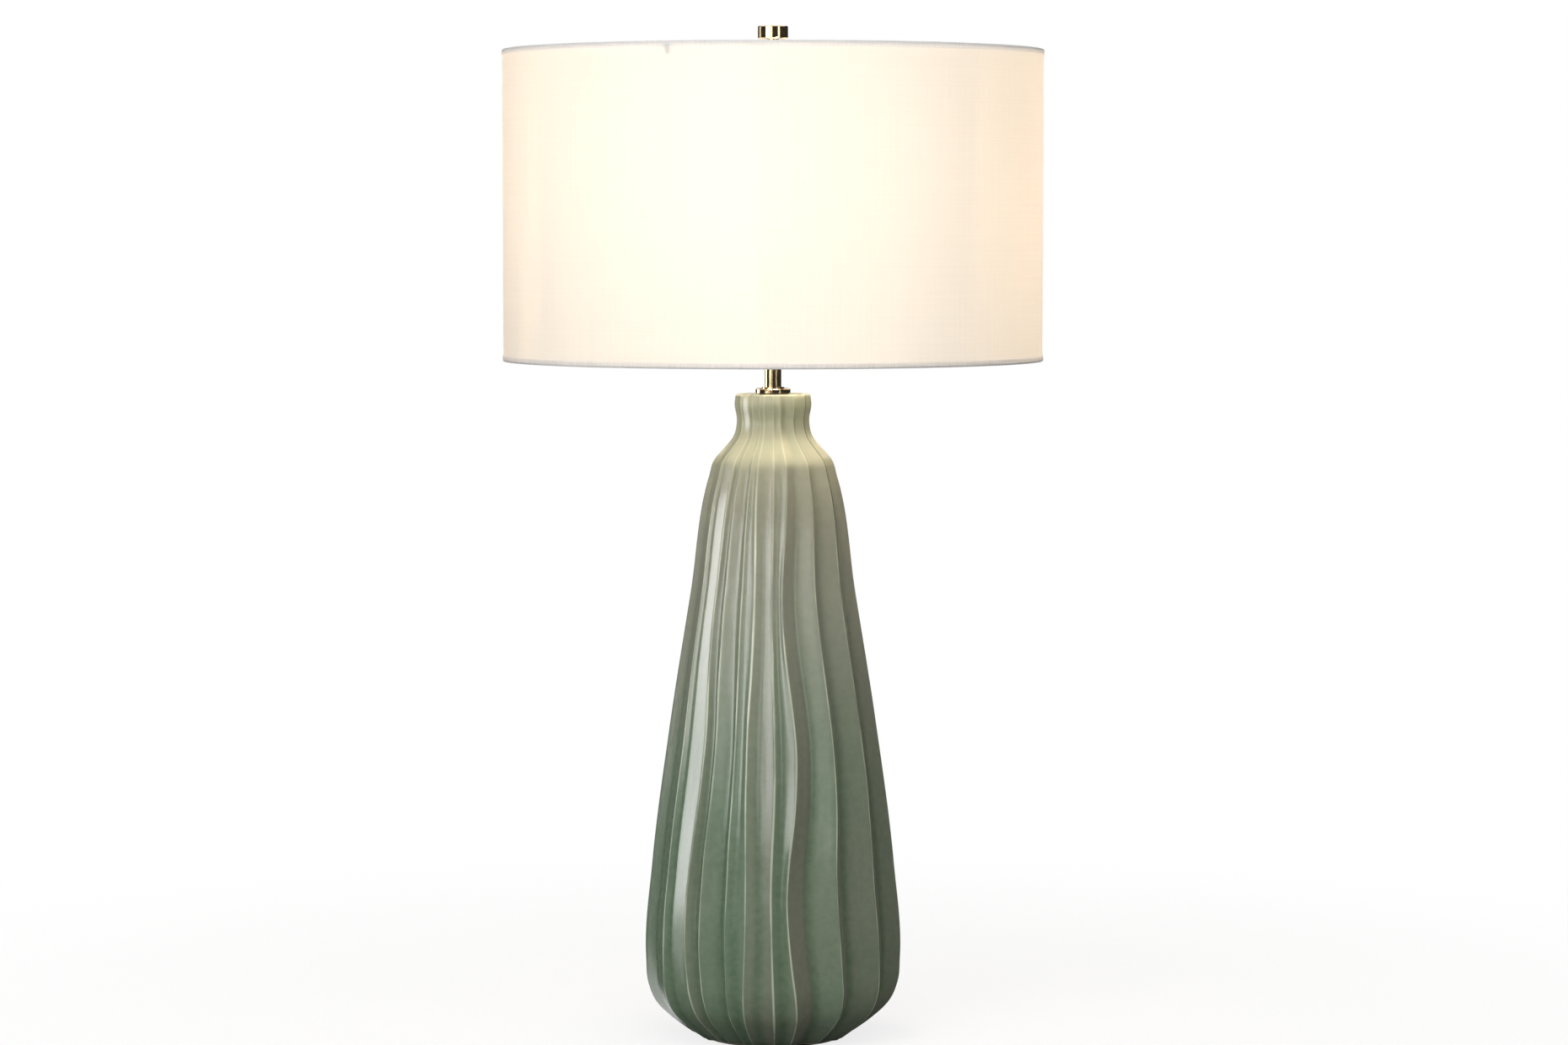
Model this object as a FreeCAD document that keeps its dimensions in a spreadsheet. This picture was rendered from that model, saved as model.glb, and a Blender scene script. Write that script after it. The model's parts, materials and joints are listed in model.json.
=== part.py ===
import FreeCAD, Part

import math
import os

import Sketcher
from FreeCAD import Placement, Rotation, Vector

# Table lamp: a tall pleated ceramic body, a brass neck, a harp and a drum shade.
# Millimetres. Z points up and the lamp stands on Z = 0, centred on the Z axis.
# The front, where the switch is, faces -Y, and +X is on the viewer's right.


# ---------------------------------------------------------------------------
# Driving sizes: alias, value, what it is
# ---------------------------------------------------------------------------

SIZES = (
    # Felt ring under the foot
    ("PadThick", 2.0, "thickness of the felt ring"),
    ("PadRadius", 57.0, "outside radius of the felt ring"),
    ("PadHole", 46.0, "inside radius of the felt ring"),
    # Ceramic body, from its foot up: each place's height above the one before it, and the radius
    # over the crests of the pleats there
    ("FootRadius", 66.0, "radius where the body stands"),
    ("HeelRise", 12.0, "from the foot up to the low underside of the belly"),
    ("HeelRadius", 83.0, "radius there"),
    ("RollRise", 14.0, "up to the high underside of the belly"),
    ("RollRadius", 98.3, "radius there"),
    ("TurnRise", 18.0, "up to where the underside turns upright"),
    ("TurnRadius", 106.8, "radius there"),
    ("BellyRise", 22.0, "up to the widest place"),
    ("BellyRadius", 108.8, "radius there"),
    ("FlankRise", 84.0, "up to the lower flank"),
    ("FlankRadius", 103.2, "radius there"),
    ("WaistRise", 115.0, "up to the middle of the body"),
    ("WaistRadius", 88.4, "radius there"),
    ("ChestRise", 115.0, "up to the upper flank"),
    ("ChestRadius", 70.2, "radius there"),
    ("ShoulderRise", 98.0, "up to where the shoulder starts"),
    ("ShoulderRadius", 54.6, "radius there"),
    ("SlopeRise", 14.0, "up to the round of the shoulder"),
    ("SlopeRadius", 50.0, "radius there"),
    ("SaddleRise", 10.0, "up to the slope above the shoulder"),
    ("SaddleRadius", 41.3, "radius there"),
    ("ThroatRise", 9.0, "up to where the slope meets the neck"),
    ("ThroatRadius", 34.2, "radius there"),
    ("NeckRise", 14.0, "up to the narrowest place of the neck"),
    ("NeckRadius", 30.9, "radius there"),
    ("FlareRise", 14.0, "up to the flared part of the neck"),
    ("FlareRadius", 32.8, "radius there"),
    ("RimRise", 8.5, "up to the top of the neck"),
    ("RimRadius", 31.9, "radius there"),
    ("Wall", 8.0, "thickness of the ceramic, measured level"),
    ("NeckPlate", 8.0, "thickness of the closed top of the neck"),
    ("SectionStep", 24.0, "longest step in height between two sections of the pleats"),
    ("SwayWave", 249.0, "height of one wave of the pleats"),
    ("SwayLow", 121.0, "height where the waves lean furthest to the left"),
    # Cord hole at the back, with its flat land outside and its boss inside
    ("InletHeight", 40.0, "height of the cord hole above the foot"),
    ("LandSink", 8.3, "from the radius where the underside turns upright in to the land"),
    ("LandRadius", 7.5, "radius of the land"),
    ("BossRadius", 12.0, "radius of the boss"),
    ("BossLength", 13.0, "from the land to the boss's inner end"),
    ("GrommetRadius", 5.0, "radius of the grommet's sleeve"),
    ("GrommetFlange", 7.0, "radius of the grommet's flange"),
    ("GrommetLip", 2.0, "thickness of the flange"),
    ("CordBore", 3.5, "radius of the bore for the cord"),
    # Threaded tube and what it clamps
    ("TubeThread", 5.0, "outside radius of the threaded tube"),
    ("TubeBore", 3.5, "inside radius of the threaded tube"),
    ("TubeFree", 0.1, "clearance round the threaded tube"),
    ("TubeTail", 3.0, "threaded tube below the nut"),
    ("TubeGrip", 6.0, "threaded tube inside the socket cap"),
    ("WasherRadius", 14.5, "radius of the plain washer"),
    ("WasherThick", 2.0, "thickness of the plain washer"),
    ("SpringWasherRadius", 9.0, "radius of the split washer"),
    ("SpringWasherThick", 1.6, "thickness of the split washer"),
    ("SpringWasherSplit", 1.2, "width of its split"),
    ("NutAcross", 14.0, "size of the nut across its flats"),
    ("NutThick", 5.0, "thickness of the nut"),
    ("GasketRadius", 13.0, "radius of the soft gasket"),
    ("GasketThick", 0.8, "thickness of the gasket"),
    ("CollarRadius", 14.75, "radius of the collar"),
    ("CollarThick", 3.7, "height of the collar's broad part"),
    ("CollarBevel", 0.5, "bevel round its edge"),
    ("CollarStep", 9.5, "radius of the step under the neck tube"),
    ("CollarStepThick", 1.2, "height of that step"),
    ("NeckTubeRadius", 7.0, "outside radius of the neck tube"),
    ("NeckTubeWall", 1.2, "wall of the neck tube"),
    ("NeckTubeLength", 41.6, "length of the neck tube"),
    # Bracket of the harp
    ("StrapThick", 1.5, "thickness of the bracket's steel strap"),
    ("StrapWidth", 12.7, "width of the strap"),
    ("StrapReach", 33.0, "distance of each arm from the axis"),
    ("StrapRise", 15.0, "height of each arm above the strap"),
    ("TongueWidth", 3.0, "width of the tongue at the arm's end"),
    ("TongueLength", 7.0, "length of that tongue"),
    # Harp
    ("HarpHeight", 228.6, "from under the bracket to the washer's seat"),
    ("WireRadius", 1.6, "radius of the harp's wire"),
    ("HarpLeg", 22.0, "straight leg above the bracket's tongue"),
    ("HarpBend", 30.0, "radius of the bend above each leg"),
    ("HarpBow", 56.0, "radius of the round top"),
    ("EyeRadius", 5.0, "radius of the flattened eye at the top"),
    ("EyeThick", 2.4, "thickness of the eye"),
    ("RivetRadius", 2.0, "radius of the stud's rivet"),
    ("RivetHead", 3.6, "radius of the rivet's head"),
    ("RivetHeadThick", 1.2, "thickness of the rivet's head"),
    ("SeatRadius", 6.5, "radius of the stud's seat"),
    ("SeatThick", 2.0, "thickness of the stud's seat"),
    ("StudRadius", 3.175, "radius of the stud's thread"),
    ("StudLength", 9.5, "length of the stud above its seat"),
    ("FerruleRadius", 3.1, "outside radius of a ferrule"),
    ("FerruleLength", 9.0, "length of a ferrule"),
    ("FerruleFree", 0.2, "clearance between a ferrule and the wire"),
    # Socket
    ("HubRadius", 8.0, "radius of the socket cap's hub"),
    ("HubHeight", 7.0, "height of the hub"),
    ("CapRadius", 16.6, "radius of the socket cap"),
    ("CapShoulder", 12.0, "height where the cap turns upright"),
    ("CapHeight", 20.0, "height of the socket cap"),
    ("BrassWall", 0.7, "wall of the cap and the shell"),
    ("ShellFree", 0.3, "clearance between the nested parts of the socket"),
    ("ShellLift", 12.6, "height of the shell's lower edge above the bracket"),
    ("ShellHeight", 49.0, "height of the socket shell"),
    ("LinerWall", 0.5, "wall of the insulating sleeve"),
    ("BlockHeight", 20.0, "height of the switch block"),
    ("ScrewShellWall", 0.5, "wall of the screw shell"),
    ("ScrewShellHeight", 24.0, "height of the screw shell"),
    ("ScrewShellHole", 7.0, "radius of the hole in its floor"),
    ("ContactThick", 0.5, "thickness of the centre contact's strip"),
    ("ContactWidth", 5.0, "width of that strip"),
    ("ContactRise", 3.0, "height of the contact's raised end"),
    ("ContactReach", 5.0, "distance of the contact's foot from the axis"),
    ("TerminalHead", 3.0, "radius of a terminal screw's head"),
    ("TerminalHeadThick", 1.8, "thickness of that head"),
    ("TerminalShank", 1.7, "radius of a terminal screw's shank"),
    ("TerminalShankLength", 5.0, "length of that shank"),
    ("TerminalRecess", 3.2, "depth of the recess for the head"),
    ("TerminalDrop", 13.0, "height of the terminal screws in the block"),
    ("SetScrewRadius", 1.5, "radius of the set screw in the hub"),
    ("SetScrewLength", 2.6, "length of the set screw"),
    ("SetScrewHeight", 3.5, "height of the set screw in the hub"),
    # Rotary switch
    ("SpindleRadius", 1.6, "radius of the switch spindle"),
    ("SpindleFree", 0.1, "clearance round the spindle in its block"),
    ("SpindleDepth", 5.0, "distance of the spindle's inner end from the axis"),
    ("SpindleLift", 10.0, "height of the spindle in the block"),
    ("SpindleGap", 1.0, "gap between the shell and the knob"),
    ("SpindleInKnob", 8.0, "length of the spindle inside the knob"),
    ("KnobRadius", 5.5, "radius of the switch knob"),
    ("KnobLength", 13.0, "length of the switch knob"),
    ("KnobNeck", 3.6, "radius of the knob's narrow end"),
    ("KnobNeckLength", 3.0, "length of that narrow end"),
    ("FluteRadius", 0.9, "radius of each flute round the knob"),
    ("FluteCount", 12, "number of those flutes"),
    # Finial
    ("FinialFoot", 6.0, "radius of the finial's foot"),
    ("FinialFootThick", 2.5, "height of its foot"),
    ("FinialStem", 4.6, "radius of its stem"),
    ("FinialStemLength", 22.2, "from the washer to the knob"),
    ("FinialKnob", 12.75, "radius of its knob"),
    ("FinialKnobThick", 10.6, "height of its knob"),
    ("FinialBevel", 0.6, "bevel round its knob"),
    ("FinialBore", 11.0, "depth of its threaded bore"),
    ("ThreadFree", 0.1, "clearance in that bore"),
    # Shade
    ("ShadeRadius", 228.6, "outside radius of the hems"),
    ("ShadeHeight", 262.0, "height of the shade"),
    ("SpiderDrop", 14.2, "from the shade's top edge down to the stud's seat"),
    ("FabricThick", 0.6, "thickness of the fabric"),
    ("LinerThick", 0.8, "thickness of the stiff liner"),
    ("HemThick", 0.5, "thickness of the hem tape"),
    ("HemWidth", 5.0, "width of the hem tape on the outside"),
    ("LayerGap", 0.1, "gap between the layers of the shade"),
    ("RingRadius", 1.6, "radius of the wire of the rings and arms"),
    ("ArmBend", 6.0, "radius of the bend in each arm"),
    ("ArmAngle", 21.4, "turn of the first arm to the left of the front"),
    ("ArmCount", 3, "number of arms"),
    ("SpiderWasher", 12.0, "radius of the spider's washer"),
    ("SpiderWasherThick", 1.6, "thickness of that washer"),
    ("SpiderHole", 3.5, "radius of the hole in the washer"),
    # Bulb
    ("BulbRadius", 30.0, "radius of the bulb"),
    ("BulbHeight", 88.0, "height of the glass above its cap"),
    ("BulbNeck", 13.8, "radius of the glass where it leaves the cap"),
    ("GlassWall", 1.0, "wall of the glass"),
    ("BulbCapRadius", 13.0, "radius of the bulb's screw cap"),
    ("BulbCapHeight", 21.0, "height of the screw cap"),
    ("BulbCapWall", 0.6, "wall of the screw cap"),
    ("BulbInsulatorHeight", 3.0, "height of the insulator under the cap"),
    ("BulbContactRadius", 4.5, "radius of the contact"),
    ("BulbContactHeight", 1.2, "height of the contact"),
    ("ContactFree", 0.3, "gap between the bulb and the centre contact"),
)

# Pleats, from the left of the front round to the right: the angle of the crest (0 is the front,
# positive to the viewer's right), how far the crest sways, the angle of the valley that follows
# it, and that valley's depth at the belly.
PLEATS = (
    (-88.0, 1.0, -73.0, 6.0),
    (-58.0, 0.8, -55.0, 4.5),
    (-41.5, 2.0, -37.0, 7.0),
    (-34.0, 1.3, -24.0, 7.0),
    (-21.5, 0.6, -17.5, 2.5),
    (-13.3, -0.8, -7.0, 2.5),
    (0.0, 0.9, 5.0, 5.0),
    (9.5, 3.0, 20.5, 13.0),
    (32.7, 1.8, 39.5, 9.5),
    (56.0, 1.2, 77.0, 14.0),
    (90.0, 2.0, 98.0, 6.0),
    (106.0, -1.5, 117.0, 9.0),
    (129.0, 1.5, 135.0, 6.0),
    (142.0, 1.0, 152.0, 8.0),
    (163.0, -1.0, 168.0, 5.0),
    (173.0, 1.5, 180.0, 3.0),
    (187.0, 0.8, 200.0, 10.0),
    (213.0, 2.0, 218.0, 6.0),
    (225.0, -1.0, 238.0, 11.0),
    (252.0, 1.5, 263.0, 7.0),
)

STATIONS = (
    "Heel", "Roll", "Turn", "Belly", "Flank", "Waist", "Chest",
    "Shoulder", "Slope", "Saddle", "Throat", "Neck", "Flare", "Rim",
)


# ---------------------------------------------------------------------------
# Sheet, and lengths that remember their formula
# ---------------------------------------------------------------------------

doc = FreeCAD.newDocument("PleatedLamp")
sheet = doc.addObject("Spreadsheet::Sheet", "Sizes")
for row, (alias, value, meaning) in enumerate(SIZES, start=1):
    sheet.set(f"A{row}", meaning)
    sheet.set(f"B{row}", str(value))
    sheet.setAlias(f"B{row}", alias)
doc.recompute()


class Length:
    """A length in mm that carries the sheet formula it comes from."""

    def __init__(self, value, formula):
        self.value = value
        self.formula = formula

    def __add__(self, other):
        return Length(self.value + other.value, f"{self.formula} + {other.formula}")

    def __sub__(self, other):
        return Length(self.value - other.value, f"{self.formula} - ({other.formula})")

    def __mul__(self, factor):
        return Length(self.value * factor, f"({self.formula}) * {factor}")

    def __truediv__(self, divisor):
        return Length(self.value / divisor, f"({self.formula}) / {divisor}")

    def __neg__(self):
        return Length(-self.value, f"-({self.formula})")


class Sizes:
    """The sheet's cells by their alias: sizes.Wall is the wall's Length."""

    def __getattr__(self, alias):
        return Length(float(sheet.get(alias)), f"Sizes.{alias}")


sizes = Sizes()
NOUGHT = Length(0.0, "0")

# Local axes of the pieces that lie level: Z turned to the back or to the front of the lamp,
# or to the viewer's right.
TO_BACK = Rotation(Vector(1, 0, 0), -90)
TO_FRONT = Rotation(Vector(1, 0, 0), 90)
TO_RIGHT = Rotation(Vector(0, 1, 0), 90)

# A sketch's own level and upright axes count down from -1; the level axis starts at the origin.
SKETCH_LEVEL, SKETCH_UPRIGHT = range(-1, -3, -1)
SKETCH_ORIGIN = SKETCH_LEVEL


# ---------------------------------------------------------------------------
# Heights above the table, each worked out from the piece below it
# ---------------------------------------------------------------------------

station_heights = []
height_so_far = NOUGHT
for station in STATIONS:
    height_so_far = height_so_far + getattr(sizes, f"{station}Rise")
    station_heights.append(height_so_far)
rim_height = height_so_far
land_reach = sizes.TurnRadius - sizes.LandSink

foot_level = sizes.PadThick
rim_level = foot_level + rim_height
plate_level = rim_level - sizes.NeckPlate
gasket_top = rim_level + sizes.GasketThick
collar_top = gasket_top + sizes.CollarThick + sizes.CollarStepThick
strap_level = collar_top + sizes.NeckTubeLength
strap_top = strap_level + sizes.StrapThick
tongue_top = strap_top + sizes.StrapRise
washer_level = plate_level - sizes.WasherThick
spring_washer_level = washer_level - sizes.SpringWasherThick
nut_level = spring_washer_level - sizes.NutThick

seat_level = strap_level + sizes.HarpHeight
eye_top = seat_level - sizes.SeatThick
finial_level = seat_level + sizes.SpiderWasherThick
shade_top = seat_level + sizes.SpiderDrop
shade_bottom = shade_top - sizes.ShadeHeight

shell_level = strap_top + sizes.ShellLift
block_level = shell_level + sizes.ShellFree
block_top = block_level + sizes.BlockHeight
spindle_level = block_level + sizes.SpindleLift
contact_top = block_top + sizes.ContactRise + sizes.ContactThick
bulb_level = contact_top + sizes.ContactFree
bulb_cap_level = bulb_level + sizes.BulbContactHeight + sizes.BulbInsulatorHeight
glass_level = bulb_cap_level + sizes.BulbCapHeight

tube_hole = sizes.TubeThread + sizes.TubeFree
ferrule_bore = sizes.WireRadius + sizes.FerruleFree


# ---------------------------------------------------------------------------
# Helpers
# ---------------------------------------------------------------------------

pieces = []


def new_body(label):
    """A body of its own for one piece of the lamp."""
    body = doc.addObject("PartDesign::Body", f"Body_{label}")
    body.Label = label
    pieces.append(body)
    return body


def put(body, x=NOUGHT, y=NOUGHT, z=NOUGHT, rotation=None):
    """Place a piece, with the place tied to the sheet."""
    body.Placement = Placement(Vector(x.value, y.value, z.value), rotation or Rotation())
    body.setExpression("Placement.Base.x", x.formula)
    body.setExpression("Placement.Base.y", y.formula)
    body.setExpression("Placement.Base.z", z.formula)
    return body


def origin_part(body, role):
    """One of the body's own origin planes or axes."""
    return next(part for part in body.Origin.OriginFeatures if part.Role == role)


def new_sketch(body, name, role="XZ_Plane", offset=None):
    """A sketch on one of the body's own planes, or a stated distance along its normal."""
    sketch = body.newObject("Sketcher::SketchObject", name)
    sketch.AttachmentSupport = (origin_part(body, role), [""])
    sketch.MapMode = "FlatFace"
    if offset is not None:
        sketch.AttachmentOffset = Placement(Vector(0, 0, offset.value), Rotation())
        sketch.setExpression("AttachmentOffset.Base.z", offset.formula)
    return sketch


def tie(sketch, kind, *where, length):
    """Add one dimension to a sketch and tie it to the sheet."""
    number = sketch.addConstraint(Sketcher.Constraint(kind, *where, length.value))
    sketch.setExpression(f"Constraints[{number}]", length.formula)


def pin(sketch, line, end, x, y):
    """Hold one end of a line at x and y from the sketch's origin."""
    for kind, axis, place in (("DistanceX", SKETCH_UPRIGHT, x), ("DistanceY", SKETCH_LEVEL, y)):
        if place is NOUGHT:
            sketch.addConstraint(Sketcher.Constraint("PointOnObject", line, end, axis))
        else:
            tie(sketch, kind, SKETCH_ORIGIN, 1, line, end, length=place)


def draw_outline(sketch, corners):
    """Closed outline through the corners, each corner tied to the sheet."""
    points = [Vector(x.value, y.value, 0) for x, y in corners]
    count = len(points)
    for number, point in enumerate(points):
        sketch.addGeometry(Part.LineSegment(point, points[(number + 1) % count]), False)
    for number in range(count):
        sketch.addConstraint(Sketcher.Constraint("Coincident", number, 2, (number + 1) % count, 1))
    for number, (x, y) in enumerate(corners):
        pin(sketch, number, 1, x, y)
    return sketch


def draw_circle(sketch, x, y, radius):
    """Circle with its centre and radius tied to the sheet."""
    circle = Part.Circle(Vector(x.value, y.value, 0), Vector(0, 0, 1), radius.value)
    number = sketch.addGeometry(circle, False)
    if x is NOUGHT and y is NOUGHT:
        sketch.addConstraint(Sketcher.Constraint("Coincident", number, 3, SKETCH_ORIGIN, 1))
    else:
        pin(sketch, number, 3, x, y)
    tie(sketch, "Radius", number, length=radius)
    return sketch


def turn(body, sketch):
    """Turn a sketch a full circle round the piece's own Z axis."""
    turned = body.newObject("PartDesign::Revolution", f"Turned_{sketch.Name}")
    turned.Profile = sketch
    turned.ReferenceAxis = (sketch, ["V_Axis"])
    turned.Angle = 360
    return turned


def lathe(label, outline):
    """A piece that is one turned outline of (radius, height) corners."""
    body = new_body(label)
    turn(body, draw_outline(new_sketch(body, f"Outline_{label}"), outline))
    return body


def ring(label, inner, outer, height):
    """A washer, sleeve or disc; inner is NOUGHT for a disc."""
    outline = [(inner, NOUGHT), (outer, NOUGHT), (outer, height), (inner, height)]
    return lathe(label, outline)


def extrude(body, sketch, length, midplane=False, backwards=False, cut=False):
    """Pad or pocket a sketch by a length tied to the sheet."""
    kind = "Pocket" if cut else "Pad"
    feature = body.newObject(f"PartDesign::{kind}", f"{kind}_{sketch.Name}")
    feature.Profile = sketch
    feature.Length = length.value
    feature.setExpression("Length", length.formula)
    feature.Midplane = midplane
    feature.Reversed = backwards
    return feature


def drill(body, name, role, x, y, radius, depth, offset=None, backwards=False):
    """Round hole along the normal of one of the body's planes, checked to remove material."""
    doc.recompute()
    before = body.Shape.Volume
    sketch = draw_circle(new_sketch(body, name, role, offset), x, y, radius)
    hole = extrude(body, sketch, depth, backwards=backwards, cut=True)
    doc.recompute()
    if body.Shape.Volume >= before:
        raise ValueError(f"{name} removes nothing")
    return hole


# ---------------------------------------------------------------------------
# Ceramic body
# ---------------------------------------------------------------------------

def pleated_corners(height, radius, inset):
    """Crest and valley corners of the pleated section at a height above the foot."""
    wave = 2 * math.pi * (height - sizes.SwayLow.value) / sizes.SwayWave.value
    swing = -math.cos(wave)
    corners = []
    for crest, sway, valley, depth in PLEATS:
        valley_depth = depth * radius / sizes.BellyRadius.value
        for angle, sunk in ((crest, 0), (valley, valley_depth)):
            bearing = math.radians(angle + sway * swing)
            reach = radius - sunk - inset
            corners.append(Vector(reach * math.sin(bearing), -reach * math.cos(bearing), 0))
    return corners


def radius_spline(stations):
    """Smooth curve of radius against height through the stations."""
    spline = Part.BSplineCurve()
    points = [Vector(height, radius, 0) for height, radius in stations]
    spline.interpolate(Points=points, Parameters=[height for height, radius in stations])
    return spline


def section_heights(stations, ceiling):
    """Heights of the sections: every station, and steps between them short enough to sway."""
    levels = [height for height, radius in stations if height < ceiling] + [ceiling]
    heights = [levels[0]]
    for low, high in zip(levels, levels[1:]):
        steps = math.ceil((high - low) / sizes.SectionStep.value)
        heights += [low + (high - low) * step / steps for step in range(1, steps + 1)]
    return heights


def pleated_solid(stations, ceiling, inset):
    """Solid inside the pleats, from the foot to a ceiling, a stated inset further in.

    Every crest and every valley is one smooth curve that climbs through the sections. A ruled
    face spans each pair of neighbours, so all level sections are exact folds.
    """
    spline = radius_spline(stations)
    heights = section_heights(stations, ceiling)
    sections = [pleated_corners(height, spline.value(height).y, inset) for height in heights]
    climbs = []
    for track in zip(*sections):
        curve = Part.BSplineCurve()
        points = [corner + Vector(0, 0, height) for corner, height in zip(track, heights)]
        curve.interpolate(Points=points, Parameters=heights)
        climbs.append(curve.toShape())
    faces = [Part.makeRuledSurface(one, other)
             for one, other in zip(climbs, climbs[1:] + climbs[:1])]
    for section, height in ((sections[0], heights[0]), (sections[-1], heights[-1])):
        loop = [corner + Vector(0, 0, height) for corner in section]
        faces.append(Part.Face(Part.makePolygon(loop + loop[:1])))
    shell = Part.Shell(faces)
    shell.sewShape()
    solid = Part.Solid(shell)
    if solid.Volume < 0:
        solid.reverse()
    return solid


def level_cylinder(name, radius, height, z, rotation=None, y=NOUGHT):
    """Cylinder tied to the sheet, standing or lying."""
    cylinder = doc.addObject("Part::Cylinder", name)
    cylinder.Radius = radius.value
    cylinder.Height = height.value
    cylinder.setExpression("Radius", radius.formula)
    cylinder.setExpression("Height", height.formula)
    return put(cylinder, y=y, z=z, rotation=rotation)


def boolean(kind, name, base, tool):
    """Cut, Fuse or Common of two objects."""
    result = doc.addObject(f"Part::{kind}", name)
    result.Base = base
    result.Tool = tool
    return result


def make_vase():
    """Pleated body, open underneath, closed on top but for the hole of the threaded tube.

    The hollow follows the pleats a wall's thickness further in, up to the plate of the neck.
    """
    stations = [(0.0, sizes.FootRadius.value)]
    for name, height in zip(STATIONS, station_heights):
        stations.append((height.value, getattr(sizes, f"{name}Radius").value))
    ceiling = rim_height - sizes.NeckPlate
    outside = doc.addObject("Part::Feature", "VaseOutside")
    outside.Shape = pleated_solid(stations, rim_height.value, 0)
    inside = doc.addObject("Part::Feature", "VaseInside")
    inside.Shape = pleated_solid(stations, ceiling.value, sizes.Wall.value)
    shell = boolean("Cut", "VaseShell", outside, inside)

    # Boss inside the back wall, flat land outside it, and the cord's hole through both
    boss = level_cylinder("Boss", sizes.BossRadius, sizes.BossLength, sizes.InletHeight,
                          TO_BACK, land_reach - sizes.BossLength)
    land = level_cylinder("Land", sizes.LandRadius, sizes.LandSink * 2, sizes.InletHeight,
                          TO_BACK, land_reach)
    cord_hole = level_cylinder("CordHole", sizes.GrommetRadius, sizes.BossLength * 2,
                               sizes.InletHeight, TO_BACK,
                               land_reach - sizes.BossLength * 1.5)
    bossed = boolean("Fuse", "VaseBossed", shell, boss)
    landed = boolean("Cut", "VaseLanded", bossed, land)
    inlet = boolean("Cut", "VaseInlet", landed, cord_hole)
    tube_passage = level_cylinder("TubePassage", tube_hole, sizes.NeckPlate * 2,
                                  rim_height - sizes.NeckPlate * 1.5)
    vase = boolean("Cut", "Vase", inlet, tube_passage)
    vase.Label = "vase"
    pieces.append(put(vase, z=foot_level))


def make_foot():
    """Felt ring glued under the foot, and the rubber grommet in the cord's hole."""
    ring("foot_pad", sizes.PadHole, sizes.PadRadius, sizes.PadThick)
    sleeve = sizes.BossLength
    flange_top = sleeve + sizes.GrommetLip
    grommet = lathe("cord_grommet", [
        (sizes.CordBore, NOUGHT), (sizes.GrommetRadius, NOUGHT), (sizes.GrommetRadius, sleeve),
        (sizes.GrommetFlange, sleeve), (sizes.GrommetFlange, flange_top),
        (sizes.CordBore, flange_top)])
    put(grommet, y=land_reach - sizes.BossLength, z=foot_level + sizes.InletHeight,
        rotation=TO_BACK)


# ---------------------------------------------------------------------------
# Neck fittings
# ---------------------------------------------------------------------------

def make_clamp():
    """Washers and nut under the plate of the neck, and the threaded tube through it."""
    washer = ring("neck_washer", tube_hole, sizes.WasherRadius, sizes.WasherThick)
    put(washer, z=washer_level)

    spring = ring("neck_lock_washer", tube_hole, sizes.SpringWasherRadius, sizes.SpringWasherThick)
    split = new_sketch(spring, "Split", "XY_Plane")
    half = sizes.SpringWasherSplit / 2
    far = sizes.SpringWasherRadius * 2
    draw_outline(split, [(NOUGHT, -half), (far, -half), (far, half), (NOUGHT, half)])
    extrude(spring, split, sizes.SpringWasherThick, backwards=True, cut=True)
    put(spring, z=spring_washer_level)

    nut = new_body("neck_nut")
    flats = new_sketch(nut, "Hexagon", "XY_Plane")
    corner = sizes.NutAcross / math.sqrt(3)
    half_flat = sizes.NutAcross / 2
    half_side = corner / 2
    draw_outline(flats, [(corner, NOUGHT), (half_side, half_flat), (-half_side, half_flat),
                         (-corner, NOUGHT), (-half_side, -half_flat), (half_side, -half_flat)])
    extrude(nut, flats, sizes.NutThick)
    drill(nut, "NutHole", "XY_Plane", NOUGHT, NOUGHT, tube_hole, sizes.NutThick, backwards=True)
    put(nut, z=nut_level)

    tube_level = nut_level - sizes.TubeTail
    tube_top = strap_top + sizes.TubeGrip
    tube = ring("threaded_tube", sizes.TubeBore, sizes.TubeThread, tube_top - tube_level)
    put(tube, z=tube_level)


def make_neck():
    """Gasket, collar and neck tube on top of the ceramic."""
    gasket = ring("neck_gasket", tube_hole, sizes.GasketRadius, sizes.GasketThick)
    put(gasket, z=rim_level)
    step_top = sizes.CollarThick + sizes.CollarStepThick
    bevel_level = sizes.CollarThick - sizes.CollarBevel
    bevel_radius = sizes.CollarRadius - sizes.CollarBevel
    collar = lathe("collar", [
        (tube_hole, NOUGHT), (sizes.CollarRadius, NOUGHT), (sizes.CollarRadius, bevel_level),
        (bevel_radius, sizes.CollarThick), (sizes.CollarStep, sizes.CollarThick),
        (sizes.CollarStep, step_top), (tube_hole, step_top)])
    put(collar, z=gasket_top)
    inner = sizes.NeckTubeRadius - sizes.NeckTubeWall
    tube = ring("neck_tube", inner, sizes.NeckTubeRadius, sizes.NeckTubeLength)
    put(tube, z=collar_top)


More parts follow.
